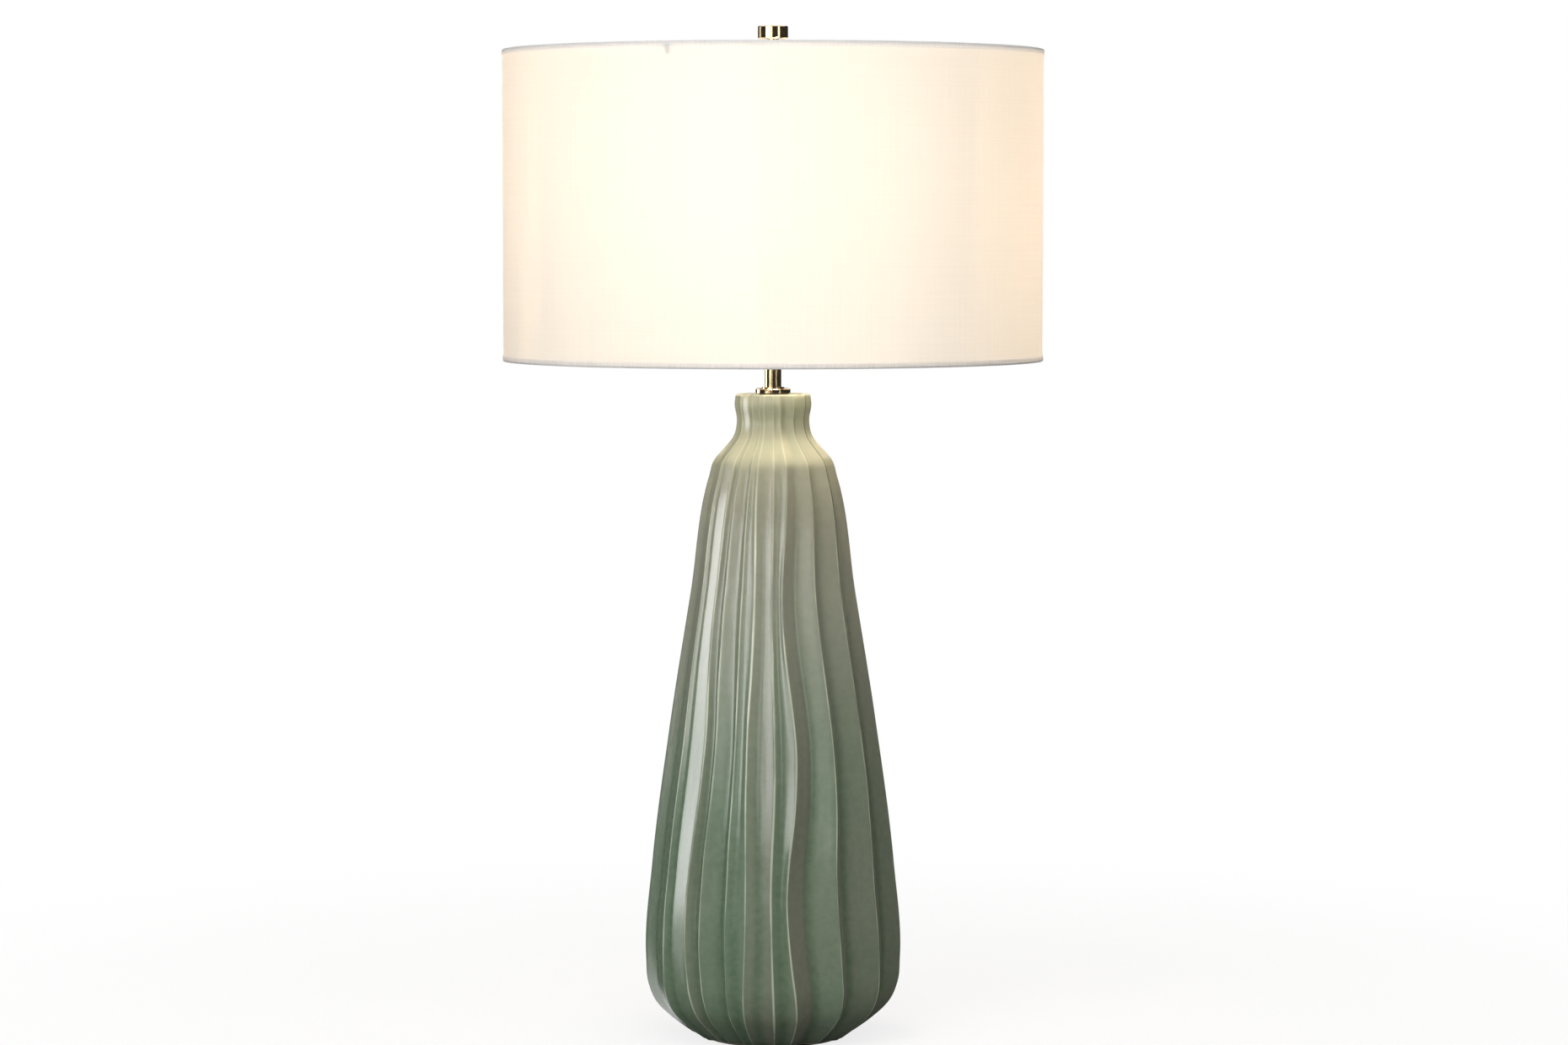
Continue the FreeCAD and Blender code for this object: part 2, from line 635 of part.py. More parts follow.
def make_saddle():
    """Steel strap bent up into two arms, each with a tongue that a harp leg stands on."""
    body = new_body("harp_saddle")
    outer = sizes.StrapReach + sizes.StrapThick / 2
    inner = outer - sizes.StrapThick
    top = sizes.StrapThick + sizes.StrapRise
    profile = new_sketch(body, "SaddleProfile")
    draw_outline(profile, [
        (-outer, NOUGHT), (outer, NOUGHT), (outer, top), (inner, top), (inner, sizes.StrapThick),
        (-inner, sizes.StrapThick), (-inner, top), (-outer, top)])
    extrude(body, profile, sizes.StrapWidth, midplane=True)
    shoulder = top - sizes.TongueLength
    half_tongue = sizes.TongueWidth / 2
    beyond = sizes.StrapWidth
    for name, side in (("TongueFront", -1), ("TongueBack", 1)):
        cheek = new_sketch(body, name, "YZ_Plane")
        draw_outline(cheek, [
            (half_tongue * side, shoulder), (beyond * side, shoulder),
            (beyond * side, top), (half_tongue * side, top)])
        extrude(body, cheek, outer * 2, midplane=True, cut=True)
    drill(body, "SaddleHole", "XY_Plane", NOUGHT, NOUGHT, tube_hole, sizes.StrapThick,
          backwards=True)
    put(body, z=strap_level)


# ---------------------------------------------------------------------------
# Harp, its stud and its ferrules
# ---------------------------------------------------------------------------

def make_harp():
    """Bent wire loop: straight legs, an outward bend, a slanting side and a round top.

    The slanting side is the inner tangent of the bend's circle and the top's circle, so its
    slant follows from their radii and places.
    """
    body = new_body("harp")
    wire_top = eye_top - tongue_top - (sizes.EyeThick / 2)
    bow_centre = wire_top - sizes.HarpBow
    bend_centre = sizes.StrapReach + sizes.HarpBend
    across = bend_centre.value
    rise = bow_centre.value - sizes.HarpLeg.value
    reach = math.hypot(across, rise)
    both = sizes.HarpBend.value + sizes.HarpBow.value
    slant = math.asin(both / reach) - math.atan2(across, rise)

    leg_foot = Vector(sizes.StrapReach.value, 0, 0)
    leg_top = leg_foot + Vector(0, sizes.HarpLeg.value, 0)
    bend_middle = Vector(across, sizes.HarpLeg.value, 0)
    bow_middle = Vector(0, bow_centre.value, 0)
    inward = Vector(-math.cos(slant), math.sin(slant), 0)
    side_low = bend_middle + inward * sizes.HarpBend.value
    side_high = bow_middle - inward * sizes.HarpBow.value

    path = new_sketch(body, "HarpPath")
    upright = Vector(0, 0, 1)
    half_turn = math.pi
    path.addGeometry([
        Part.LineSegment(leg_foot, leg_top),
        Part.ArcOfCircle(Part.Circle(bend_middle, upright, sizes.HarpBend.value),
                         half_turn - slant, half_turn),
        Part.LineSegment(side_low, side_high),
        Part.ArcOfCircle(Part.Circle(bow_middle, upright, sizes.HarpBow.value),
                         -slant, half_turn / 2),
    ], False)
    leg, bend, side, bow = range(4)
    path.addConstraint([
        Sketcher.Constraint("Tangent", leg, 2, bend, 2),
        Sketcher.Constraint("Tangent", bend, 1, side, 1),
        Sketcher.Constraint("Tangent", side, 2, bow, 1),
        Sketcher.Constraint("PointOnObject", leg, 1, SKETCH_LEVEL),
        Sketcher.Constraint("PointOnObject", bow, 3, SKETCH_UPRIGHT),
        Sketcher.Constraint("PointOnObject", bow, 2, SKETCH_UPRIGHT),
        Sketcher.Constraint("Vertical", leg),
    ])
    tie(path, "DistanceX", SKETCH_ORIGIN, 1, leg, 1, length=sizes.StrapReach)
    tie(path, "DistanceY", leg, 1, leg, 2, length=sizes.HarpLeg)
    tie(path, "Radius", bend, length=sizes.HarpBend)
    tie(path, "Radius", bow, length=sizes.HarpBow)
    tie(path, "DistanceY", SKETCH_ORIGIN, 1, bow, 2, length=wire_top)

    section = draw_circle(new_sketch(body, "HarpWire", "XY_Plane"),
                          sizes.StrapReach, NOUGHT, sizes.WireRadius)
    wire = body.newObject("PartDesign::AdditivePipe", "HarpSide")
    wire.Profile = section
    wire.Spine = path
    mirrored = body.newObject("PartDesign::Mirrored", "HarpBothSides")
    mirrored.Originals = [wire]
    mirrored.MirrorPlane = (origin_part(body, "YZ_Plane"), [""])
    body.Tip = mirrored

    eye_level = wire_top - sizes.EyeThick / 2
    eye = draw_circle(new_sketch(body, "HarpEye", "XY_Plane", eye_level),
                      NOUGHT, NOUGHT, sizes.EyeRadius)
    extrude(body, eye, sizes.EyeThick)
    # The wire is flattened level with the eye, above and below, as far as the seat reaches.
    for name, level, backwards in (("FlatAbove", wire_top + sizes.EyeThick / 2, True),
                                   ("FlatBelow", eye_level, False)):
        flat = draw_circle(new_sketch(body, name, "XY_Plane", level),
                           NOUGHT, NOUGHT, sizes.SeatRadius + sizes.FerruleFree)
        extrude(body, flat, sizes.WireRadius * 2, backwards=backwards, cut=True)
    drill(body, "RivetHole", "XY_Plane", NOUGHT, NOUGHT, sizes.RivetRadius, sizes.EyeThick,
          offset=wire_top + sizes.EyeThick / 2)
    put(body, z=tongue_top)

    head_top = sizes.RivetHeadThick
    eye_end = head_top + sizes.EyeThick
    seat_top = eye_end + sizes.SeatThick
    stud_top = seat_top + sizes.StudLength
    stud = lathe("harp_stud", [
        (NOUGHT, NOUGHT), (sizes.RivetHead, NOUGHT), (sizes.RivetHead, head_top),
        (sizes.RivetRadius, head_top), (sizes.RivetRadius, eye_end), (sizes.SeatRadius, eye_end),
        (sizes.SeatRadius, seat_top), (sizes.StudRadius, seat_top), (sizes.StudRadius, stud_top),
        (NOUGHT, stud_top)])
    put(stud, z=eye_top - sizes.EyeThick - sizes.RivetHeadThick)


def make_ferrules():
    """Sleeves over the joints between the bracket's tongues and the harp's legs."""
    level = tongue_top - sizes.TongueLength
    for label, side in (("ferrule_left", -1), ("ferrule_right", 1)):
        ferrule = ring(label, ferrule_bore, sizes.FerruleRadius, sizes.FerruleLength)
        put(ferrule, x=sizes.StrapReach * side, z=level)


# ---------------------------------------------------------------------------
# Socket
# ---------------------------------------------------------------------------

shell_radius = sizes.CapRadius - sizes.BrassWall - sizes.ShellFree
sleeve_radius = shell_radius - sizes.BrassWall - sizes.ShellFree
block_radius = sizes.CapRadius - (sizes.BrassWall * 2) - sizes.LinerWall - (sizes.ShellFree * 3)
spindle_hole = sizes.SpindleRadius + sizes.SpindleFree


def make_socket_cap():
    """Brass cup screwed on the threaded tube, with its set screw."""
    wall = sizes.BrassWall
    inner = sizes.CapRadius - wall
    cap = lathe("socket_cap", [
        (tube_hole, NOUGHT), (sizes.HubRadius, NOUGHT), (sizes.HubRadius, sizes.HubHeight),
        (sizes.CapRadius, sizes.CapShoulder), (sizes.CapRadius, sizes.CapHeight),
        (inner, sizes.CapHeight), (inner, sizes.CapShoulder + wall / 2),
        (sizes.HubRadius - wall, sizes.HubHeight + wall), (tube_hole, sizes.HubHeight + wall)])
    screw_hole = sizes.SetScrewRadius + sizes.TubeFree
    drill(cap, "SetScrewHole", "YZ_Plane", NOUGHT, sizes.SetScrewHeight, screw_hole,
          sizes.CapRadius, backwards=True)
    put(cap, z=strap_top)

    screw = ring("socket_set_screw", NOUGHT, sizes.SetScrewRadius, sizes.SetScrewLength)
    put(screw, x=tube_hole, z=strap_top + sizes.SetScrewHeight, rotation=TO_RIGHT)


def make_socket_shell():
    """Brass shell with its rolled rim, and the paper sleeve that insulates it."""
    wall = sizes.BrassWall
    height = sizes.ShellHeight
    roll_level = height - wall * 2
    roll_radius = shell_radius + wall
    shell = lathe("socket_shell", [
        (shell_radius - wall, NOUGHT), (shell_radius, NOUGHT), (shell_radius, roll_level),
        (roll_radius, roll_level), (roll_radius, height), (shell_radius - wall, height)])
    slot_radius = spindle_hole + sizes.ShellFree
    lift = sizes.SpindleLift + sizes.ShellFree
    drill(shell, "ShellSlot", "XZ_Plane", NOUGHT, lift, slot_radius, sizes.CapRadius,
          backwards=True)
    put(shell, z=shell_level)

    sleeve = ring("socket_insulator", sleeve_radius - sizes.LinerWall, sleeve_radius,
                  height - sizes.ShellFree - roll_radius + shell_radius)
    drill(sleeve, "SleeveSlot", "XZ_Plane", NOUGHT, sizes.SpindleLift, slot_radius,
          sizes.CapRadius, backwards=True)
    put(sleeve, z=block_level)


def make_socket_block():
    """Moulded block with the bore of the switch and a recess at each side for a terminal."""
    block = ring("socket_body", NOUGHT, block_radius, sizes.BlockHeight)
    recess_floor = block_radius - sizes.TerminalRecess
    head_room = sizes.TerminalHead + sizes.ShellFree
    shank_room = sizes.TerminalShank + sizes.TubeFree
    for side, backwards in (("Right", False), ("Left", True)):
        floor = recess_floor if side == "Right" else -recess_floor
        deep = floor - sizes.TerminalShankLength if side == "Right" else (
            floor + sizes.TerminalShankLength)
        drill(block, f"Recess{side}", "YZ_Plane", NOUGHT, sizes.TerminalDrop, head_room,
              sizes.TerminalRecess, offset=floor, backwards=not backwards)
        drill(block, f"TerminalHole{side}", "YZ_Plane", NOUGHT, sizes.TerminalDrop, shank_room,
              sizes.TerminalShankLength, offset=deep, backwards=not backwards)
    drill(block, "SpindleBore", "XZ_Plane", NOUGHT, sizes.SpindleLift, spindle_hole,
          block_radius, offset=sizes.SpindleDepth - sizes.ShellFree, backwards=True)
    put(block, z=block_level)

    shank_end = sizes.TerminalShankLength - sizes.ShellFree
    head_top = shank_end + sizes.TerminalHeadThick
    screws = []
    for side, sign, rotation in (("right", 1, TO_RIGHT), ("left", -1, TO_RIGHT.inverted())):
        screw = lathe(f"terminal_screw_{side}", [
            (NOUGHT, NOUGHT), (sizes.TerminalShank, NOUGHT), (sizes.TerminalShank, shank_end),
            (sizes.TerminalHead, shank_end), (sizes.TerminalHead, head_top), (NOUGHT, head_top)])
        put(screw, x=(recess_floor - shank_end) * sign, z=block_level + sizes.TerminalDrop,
            rotation=rotation)
        screws.append(pieces.pop())
    pair = doc.addObject("Part::Compound", "TerminalScrews")
    pair.Label = "terminal_screws"
    pair.Links = screws
    pieces.append(pair)


def make_contacts():
    """Screw shell for the bulb's cap, and the sprung centre contact in its floor."""
    wall = sizes.ScrewShellWall
    outer = block_radius
    shell = lathe("screw_shell", [
        (sizes.ScrewShellHole, NOUGHT), (outer, NOUGHT), (outer, sizes.ScrewShellHeight),
        (outer - wall, sizes.ScrewShellHeight), (outer - wall, wall),
        (sizes.ScrewShellHole, wall)])
    put(shell, z=block_top)

    contact = new_body("centre_contact")
    thick = sizes.ContactThick
    reach = sizes.ContactReach
    strip = new_sketch(contact, "ContactStrip")
    crest = sizes.ContactRise + thick
    draw_outline(strip, [
        (-reach, NOUGHT), (-reach / 2, NOUGHT), (reach / 5, sizes.ContactRise),
        (reach / 2, sizes.ContactRise), (reach / 2, crest), (reach / 10, crest),
        (-reach * 0.6, thick), (-reach, thick)])
    extrude(contact, strip, sizes.ContactWidth, midplane=True)
    put(contact, z=block_top)


def make_switch():
    """Spindle of the rotary switch and its fluted knob."""
    knob_start = shell_radius + sizes.SpindleGap
    spindle_end = knob_start + sizes.SpindleInKnob
    spindle = ring("switch_spindle", NOUGHT, sizes.SpindleRadius, spindle_end - sizes.SpindleDepth)
    put(spindle, y=-sizes.SpindleDepth, z=spindle_level, rotation=TO_FRONT)

    bore_end = sizes.SpindleInKnob
    knob = lathe("switch_knob", [
        (sizes.SpindleRadius, NOUGHT), (sizes.KnobNeck, NOUGHT),
        (sizes.KnobNeck, sizes.KnobNeckLength),
        (sizes.KnobRadius, sizes.KnobNeckLength + sizes.KnobRadius - sizes.KnobNeck),
        (sizes.KnobRadius, sizes.KnobLength - sizes.FluteRadius),
        (sizes.KnobRadius - sizes.FluteRadius, sizes.KnobLength), (NOUGHT, sizes.KnobLength),
        (NOUGHT, bore_end), (sizes.SpindleRadius, bore_end)])
    flute = draw_circle(new_sketch(knob, "Flute", "XY_Plane", sizes.KnobNeckLength),
                        sizes.KnobRadius, NOUGHT, sizes.FluteRadius)
    groove = extrude(knob, flute, sizes.KnobLength, backwards=True, cut=True)
    doc.recompute()
    flutes = knob.newObject("PartDesign::PolarPattern", "Flutes")
    flutes.Originals = [groove]
    flutes.Axis = (origin_part(knob, "Z_Axis"), [""])
    flutes.Angle = 360
    flutes.setExpression("Occurrences", sizes.FluteCount.formula)
    knob.Tip = flutes
    put(knob, y=-knob_start, z=spindle_level, rotation=TO_FRONT)


# ---------------------------------------------------------------------------
# Bulb
# ---------------------------------------------------------------------------

def glass_skin(neck, radius, centre):
    """One skin of the glass: its foot, the angle where the dome starts, and the point there.

    The dome is an arc about the bulb's centre. The flank is the tangent to it from the foot.
    """
    downward = math.atan2(-centre, neck)
    angle = downward + math.acos(radius / math.hypot(neck, centre))
    touch = Vector(radius * math.cos(angle), centre + radius * math.sin(angle), 0)
    return Vector(neck, 0, 0), angle, touch


def make_bulb():
    """Opal bulb: thin glass, screw cap, insulator and contact."""
    glass = new_body("bulb_glass")
    sketch = new_sketch(glass, "GlassOutline")
    wall = sizes.GlassWall.value
    centre = sizes.BulbHeight.value - sizes.BulbRadius.value
    radius_out = sizes.BulbRadius.value
    radius_in = radius_out - wall
    foot_out, angle_out, touch_out = glass_skin(sizes.BulbNeck.value, radius_out, centre)
    foot_in, angle_in, touch_in = glass_skin(sizes.BulbNeck.value - wall, radius_in, centre)
    middle = Vector(0, centre, 0)
    upright = Vector(0, 0, 1)
    quarter = math.pi / 2
    sketch.addGeometry([
        Part.LineSegment(foot_in, foot_out),
        Part.LineSegment(foot_out, touch_out),
        Part.ArcOfCircle(Part.Circle(middle, upright, radius_out), angle_out, quarter),
        Part.LineSegment(middle + Vector(0, radius_out, 0), middle + Vector(0, radius_in, 0)),
        Part.ArcOfCircle(Part.Circle(middle, upright, radius_in), angle_in, quarter),
        Part.LineSegment(touch_in, foot_in),
    ], False)
    foot, flank, dome, pole, inner_dome, inner_flank = range(6)
    sketch.addConstraint([
        Sketcher.Constraint("Coincident", foot, 2, flank, 1),
        Sketcher.Constraint("Tangent", flank, 2, dome, 1),
        Sketcher.Constraint("Coincident", dome, 2, pole, 1),
        Sketcher.Constraint("Coincident", pole, 2, inner_dome, 2),
        Sketcher.Constraint("Tangent", inner_dome, 1, inner_flank, 1),
        Sketcher.Constraint("Coincident", inner_flank, 2, foot, 1),
        Sketcher.Constraint("PointOnObject", foot, 1, SKETCH_LEVEL),
        Sketcher.Constraint("PointOnObject", foot, 2, SKETCH_LEVEL),
        Sketcher.Constraint("PointOnObject", dome, 3, SKETCH_UPRIGHT),
        Sketcher.Constraint("PointOnObject", dome, 2, SKETCH_UPRIGHT),
        Sketcher.Constraint("PointOnObject", inner_dome, 2, SKETCH_UPRIGHT),
        Sketcher.Constraint("Coincident", dome, 3, inner_dome, 3),
    ])
    tie(sketch, "DistanceX", SKETCH_ORIGIN, 1, foot, 2, length=sizes.BulbNeck)
    tie(sketch, "DistanceX", foot, 1, foot, 2, length=sizes.GlassWall)
    tie(sketch, "Radius", dome, length=sizes.BulbRadius)
    tie(sketch, "Radius", inner_dome, length=sizes.BulbRadius - sizes.GlassWall)
    tie(sketch, "DistanceY", SKETCH_ORIGIN, 1, dome, 2, length=sizes.BulbHeight)
    turn(glass, sketch)
    put(glass, z=glass_level)

    wall = sizes.BulbCapWall
    cap = ring("bulb_cap", sizes.BulbCapRadius - wall, sizes.BulbCapRadius, sizes.BulbCapHeight)
    put(cap, z=bulb_cap_level)
    insulator = lathe("bulb_insulator", [
        (NOUGHT, NOUGHT), (sizes.BulbContactRadius, NOUGHT),
        (sizes.BulbCapRadius - wall, sizes.BulbInsulatorHeight),
        (NOUGHT, sizes.BulbInsulatorHeight)])
    put(insulator, z=bulb_level + sizes.BulbContactHeight)
    contact = ring("bulb_contact", NOUGHT, sizes.BulbContactRadius, sizes.BulbContactHeight)
    put(contact, z=bulb_level)


# ---------------------------------------------------------------------------
# Shade and finial
# ---------------------------------------------------------------------------

fabric_radius = sizes.ShadeRadius - sizes.HemThick - sizes.LayerGap
liner_radius = fabric_radius - sizes.FabricThick - sizes.LayerGap
wire_ring_radius = liner_radius - sizes.LinerThick - sizes.LayerGap - sizes.RingRadius
hem_inner_radius = wire_ring_radius - sizes.RingRadius - sizes.LayerGap - sizes.HemThick
layer_inset = sizes.HemThick + sizes.LayerGap


def make_shade_skins():
    """Fabric and liner, each a thin tube, with the tape that is rolled over both edges."""
    height = sizes.ShadeHeight - layer_inset * 2
    for label, radius, thick in (("shade_fabric", fabric_radius, sizes.FabricThick),
                                 ("shade_liner", liner_radius, sizes.LinerThick)):
        skin = ring(label, radius - thick, radius, height)
        put(skin, z=shade_bottom + layer_inset)
    tape = sizes.HemThick
    outer = sizes.ShadeRadius
    width = sizes.HemWidth
    bottom = lathe("bottom_hem", [
        (hem_inner_radius, NOUGHT), (outer, NOUGHT), (outer, width), (outer - tape, width),
        (outer - tape, tape), (hem_inner_radius + tape, tape), (hem_inner_radius + tape, width),
        (hem_inner_radius, width)])
    put(bottom, z=shade_bottom)
    # The top tape stays on the outside and the edge, so it clears the spider's arms.
    top = lathe("top_hem", [
        (outer - tape, NOUGHT), (outer, NOUGHT), (outer, width), (hem_inner_radius, width),
        (hem_inner_radius, width - tape), (outer - tape, width - tape)])
    put(top, z=shade_top - sizes.HemWidth)


def make_rings():
    """Wire ring in each hem, and the spider: a washer with three arms, welded under the top ring."""
    ring_level = layer_inset + sizes.RingRadius
    for label, level in (("bottom_ring", shade_bottom + ring_level),
                         ("top_ring", shade_top - ring_level)):
        loop = new_body(label)
        wire = draw_circle(new_sketch(loop, f"Wire_{label}"), wire_ring_radius, NOUGHT,
                           sizes.RingRadius)
        turn(loop, wire)
        put(loop, z=level)

    body = new_body("spider_frame")
    post_top = sizes.SpiderDrop - ring_level - sizes.RingRadius
    arm_level = sizes.SpiderWasherThick / 2
    start = sizes.SpiderWasher - sizes.RingRadius
    bend_start = wire_ring_radius - sizes.ArmBend
    bend_top = arm_level + sizes.ArmBend
    path = new_sketch(body, "ArmPath")
    upright = Vector(0, 0, 1)
    path.addGeometry([
        Part.LineSegment(Vector(start.value, arm_level.value, 0),
                         Vector(bend_start.value, arm_level.value, 0)),
        Part.ArcOfCircle(Part.Circle(Vector(bend_start.value, bend_top.value, 0), upright,
                                     sizes.ArmBend.value), -math.pi / 2, 0),
        Part.LineSegment(Vector(wire_ring_radius.value, bend_top.value, 0),
                         Vector(wire_ring_radius.value, post_top.value, 0)),
    ], False)
    arm, bend, post = range(3)
    path.addConstraint([
        Sketcher.Constraint("Tangent", arm, 2, bend, 1),
        Sketcher.Constraint("Tangent", bend, 2, post, 1),
        Sketcher.Constraint("Horizontal", arm),
        Sketcher.Constraint("Vertical", post),
    ])
    tie(path, "DistanceX", SKETCH_ORIGIN, 1, arm, 1, length=start)
    tie(path, "DistanceX", SKETCH_ORIGIN, 1, post, 2, length=wire_ring_radius)
    tie(path, "DistanceY", SKETCH_ORIGIN, 1, post, 2, length=post_top)
    tie(path, "Radius", bend, length=sizes.ArmBend)
    tie(path, "DistanceY", SKETCH_ORIGIN, 1, arm, 1, length=arm_level)

    section = draw_circle(new_sketch(body, "ArmWire", "YZ_Plane", start),
                          NOUGHT, arm_level, sizes.RingRadius)
    arm_pipe = body.newObject("PartDesign::AdditivePipe", "Arm")
    arm_pipe.Profile = section
    arm_pipe.Spine = path
    doc.recompute()
    arms = body.newObject("PartDesign::PolarPattern", "Arms")
    arms.Originals = [arm_pipe]
    arms.Axis = (origin_part(body, "Z_Axis"), [""])
    arms.Angle = 360
    arms.setExpression("Occurrences", sizes.ArmCount.formula)
    body.Tip = arms
    washer = draw_circle(new_sketch(body, "SpiderWasher", "XY_Plane"), NOUGHT, NOUGHT,
                         sizes.SpiderWasher)
    extrude(body, washer, sizes.SpiderWasherThick)
    drill(body, "SpiderHole", "XY_Plane", NOUGHT, NOUGHT, sizes.SpiderHole,
          sizes.SpiderWasherThick, backwards=True)
    # The first arm points to the left of the front.
    put(body, z=seat_level, rotation=Rotation(Vector(0, 0, 1), -90 - sizes.ArmAngle.value))


def make_finial():
    """Finial: foot, stem and flat round knob, bored for the stud."""
    foot = sizes.FinialFootThick
    knob_level = sizes.FinialStemLength
    knob_top = knob_level + sizes.FinialKnobThick
    bevel = sizes.FinialBevel
    bore = sizes.StudRadius + sizes.ThreadFree
    finial = lathe("finial", [
        (bore, NOUGHT), (sizes.FinialFoot, NOUGHT), (sizes.FinialFoot, foot),
        (sizes.FinialStem, foot), (sizes.FinialStem, knob_level),
        (sizes.FinialKnob - bevel, knob_level), (sizes.FinialKnob, knob_level + bevel),
        (sizes.FinialKnob, knob_top - bevel), (sizes.FinialKnob - bevel, knob_top),
        (NOUGHT, knob_top), (NOUGHT, sizes.FinialBore), (bore, sizes.FinialBore)])
    put(finial, z=finial_level)


# ---------------------------------------------------------------------------
# Build, check and write
# ---------------------------------------------------------------------------

make_vase()
make_foot()
make_clamp()
make_neck()
make_saddle()
make_harp()
make_ferrules()
make_socket_cap()
make_socket_shell()
make_socket_block()
make_contacts()
make_switch()
make_bulb()
make_shade_skins()
make_rings()
make_finial()
doc.recompute()

for item in doc.Objects:
    if "Invalid" in item.State or "Error" in item.State:
        raise ValueError(f"{item.Label} failed: {item.State}")
for piece in pieces:
    if piece.Shape.isNull() or not piece.Shape.isValid():
        raise ValueError(f"{piece.Label} has no sound shape")

os.makedirs("parts", exist_ok=True)
for piece in pieces:
    piece.Shape.exportStep(os.path.join("parts", f"{piece.Label}.step"))
    box = piece.Shape.BoundBox
    print(f"{piece.Label}: {len(piece.Shape.Solids)} solid, {piece.Shape.Volume / 1000:.2f} cm3, "
          f"z {box.ZMin:.1f} to {box.ZMax:.1f}")
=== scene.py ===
# %% [markdown]
# # A pleated ceramic table lamp
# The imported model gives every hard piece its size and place. This script dresses it: it makes the
# glazed body, the linen shade and the felt again as finished surfaces, gives each piece that
# stays a finish by its slot, and lights the lamp in a plain studio.
# The frame comes first, because everything else is measured from it.

import json
import math

import bmesh
import bpy
from mathutils import Matrix, Vector, geometry, noise


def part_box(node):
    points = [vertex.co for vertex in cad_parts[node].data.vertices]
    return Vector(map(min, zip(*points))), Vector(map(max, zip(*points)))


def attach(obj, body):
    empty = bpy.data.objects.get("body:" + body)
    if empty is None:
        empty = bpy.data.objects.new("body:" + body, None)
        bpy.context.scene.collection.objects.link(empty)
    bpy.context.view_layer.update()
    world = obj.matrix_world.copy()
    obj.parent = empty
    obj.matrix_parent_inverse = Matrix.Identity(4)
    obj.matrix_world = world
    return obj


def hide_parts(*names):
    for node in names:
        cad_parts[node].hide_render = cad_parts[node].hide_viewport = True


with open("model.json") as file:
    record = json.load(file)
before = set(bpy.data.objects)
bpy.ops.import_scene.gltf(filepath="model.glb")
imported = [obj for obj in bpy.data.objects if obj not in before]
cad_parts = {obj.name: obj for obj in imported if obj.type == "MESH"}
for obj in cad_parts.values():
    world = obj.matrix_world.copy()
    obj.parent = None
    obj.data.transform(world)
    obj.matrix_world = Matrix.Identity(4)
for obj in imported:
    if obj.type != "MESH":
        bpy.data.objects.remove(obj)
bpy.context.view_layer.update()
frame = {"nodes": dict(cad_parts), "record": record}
MM = 0.001
FULL_TURN = 2 * math.pi


# %% [markdown]
# ## Camera
# The photograph was taken from nearly four metres away, at about the height of the shade's
# middle, with a long lens. A camera could be placed by eye, but the ellipses of the shade's two
# rims fix its height and distance, and the straight neck fixes its sideways place. It looks
# slightly down, by its pitch.

# %% Camera at the photograph's angle
SENSOR_WIDTH = 36.0
IMAGE_WIDTH, IMAGE_HEIGHT = 1860, 1240
FOCAL_PIXELS = 5428.0
CAMERA_DISTANCE = 3.879
CAMERA_HEIGHT = 0.698
CAMERA_SIDE = 0.0093
CAMERA_PITCH = math.radians(3.805)

camera_data = bpy.data.cameras.new("camera")
camera_data.sensor_width = SENSOR_WIDTH
camera_data.lens = FOCAL_PIXELS * SENSOR_WIDTH / IMAGE_WIDTH
camera = bpy.data.objects.new("camera", camera_data)
camera.location = (CAMERA_SIDE, -CAMERA_DISTANCE, CAMERA_HEIGHT)
camera.rotation_euler = (math.pi / 2 - CAMERA_PITCH, 0, 0)
bpy.context.scene.collection.objects.link(camera)
bpy.context.scene.camera = camera
bpy.context.scene.view_settings.view_transform = "Standard"
print("lens:", round(camera_data.lens, 1), "mm")


# %% [markdown]
# ## Node materials in few words
# A finish is a small tree of nodes. Such a tree can be drawn by hand in the shader editor, but a
# few helpers say the same in one line each: start a material with its main shader, add a node and
# plug values or other nodes into it, and ramp, blend, measure or bump with the result. Patterns
# read the piece's own coordinates, so that they stay on the piece when it moves.

# %% Helpers for node materials
def start_material(name, **plain):
    """Material with one Principled shader; plain values go straight to its sockets."""
    material = bpy.data.materials.new(name)
    material.use_nodes = True
    tree = material.node_tree
    shader = tree.nodes["Principled BSDF"]
    for socket, value in plain.items():
        shader.inputs[socket.replace("_", " ")].default_value = value
    return material, tree, shader


def add(tree, kind, settings=None, outlet=0, **inputs):
    """Add a node. Inputs are named in_0, in_1 and so on, or by the socket's name."""
    node = tree.nodes.new(kind)
    for key, value in (settings or {}).items():
        setattr(node, key, value)
    for key, value in inputs.items():
        socket = node.inputs[int(key[3:])] if key.startswith("in_") else node.inputs[
            key.replace("_", " ")]
        if isinstance(value, bpy.types.NodeSocket):
            tree.links.new(value, socket)
        else:
            socket.default_value = value
    return node.outputs[outlet]


def ramp(tree, value, low, high, out_low=0.0, out_high=1.0):
    """Smooth step of a value between two limits."""
    return add(tree, "ShaderNodeMapRange", {"interpolation_type": "SMOOTHSTEP"},
               in_0=value, in_1=low, in_2=high, in_3=out_low, in_4=out_high)


def maths(tree, operation, first, second=0.0):
    return add(tree, "ShaderNodeMath", {"operation": operation}, in_0=first, in_1=second)


def blend_colour(tree, factor, first, second, how="MIX"):
    node = tree.nodes.new("ShaderNodeMix")
    node.data_type = "RGBA"
    node.blend_type = how
    for socket, value in ((node.inputs[0], factor), (node.inputs[6], first),
                          (node.inputs[7], second)):
        if isinstance(value, bpy.types.NodeSocket):
            tree.links.new(value, socket)
        else:
            socket.default_value = value
    return node.outputs[2]


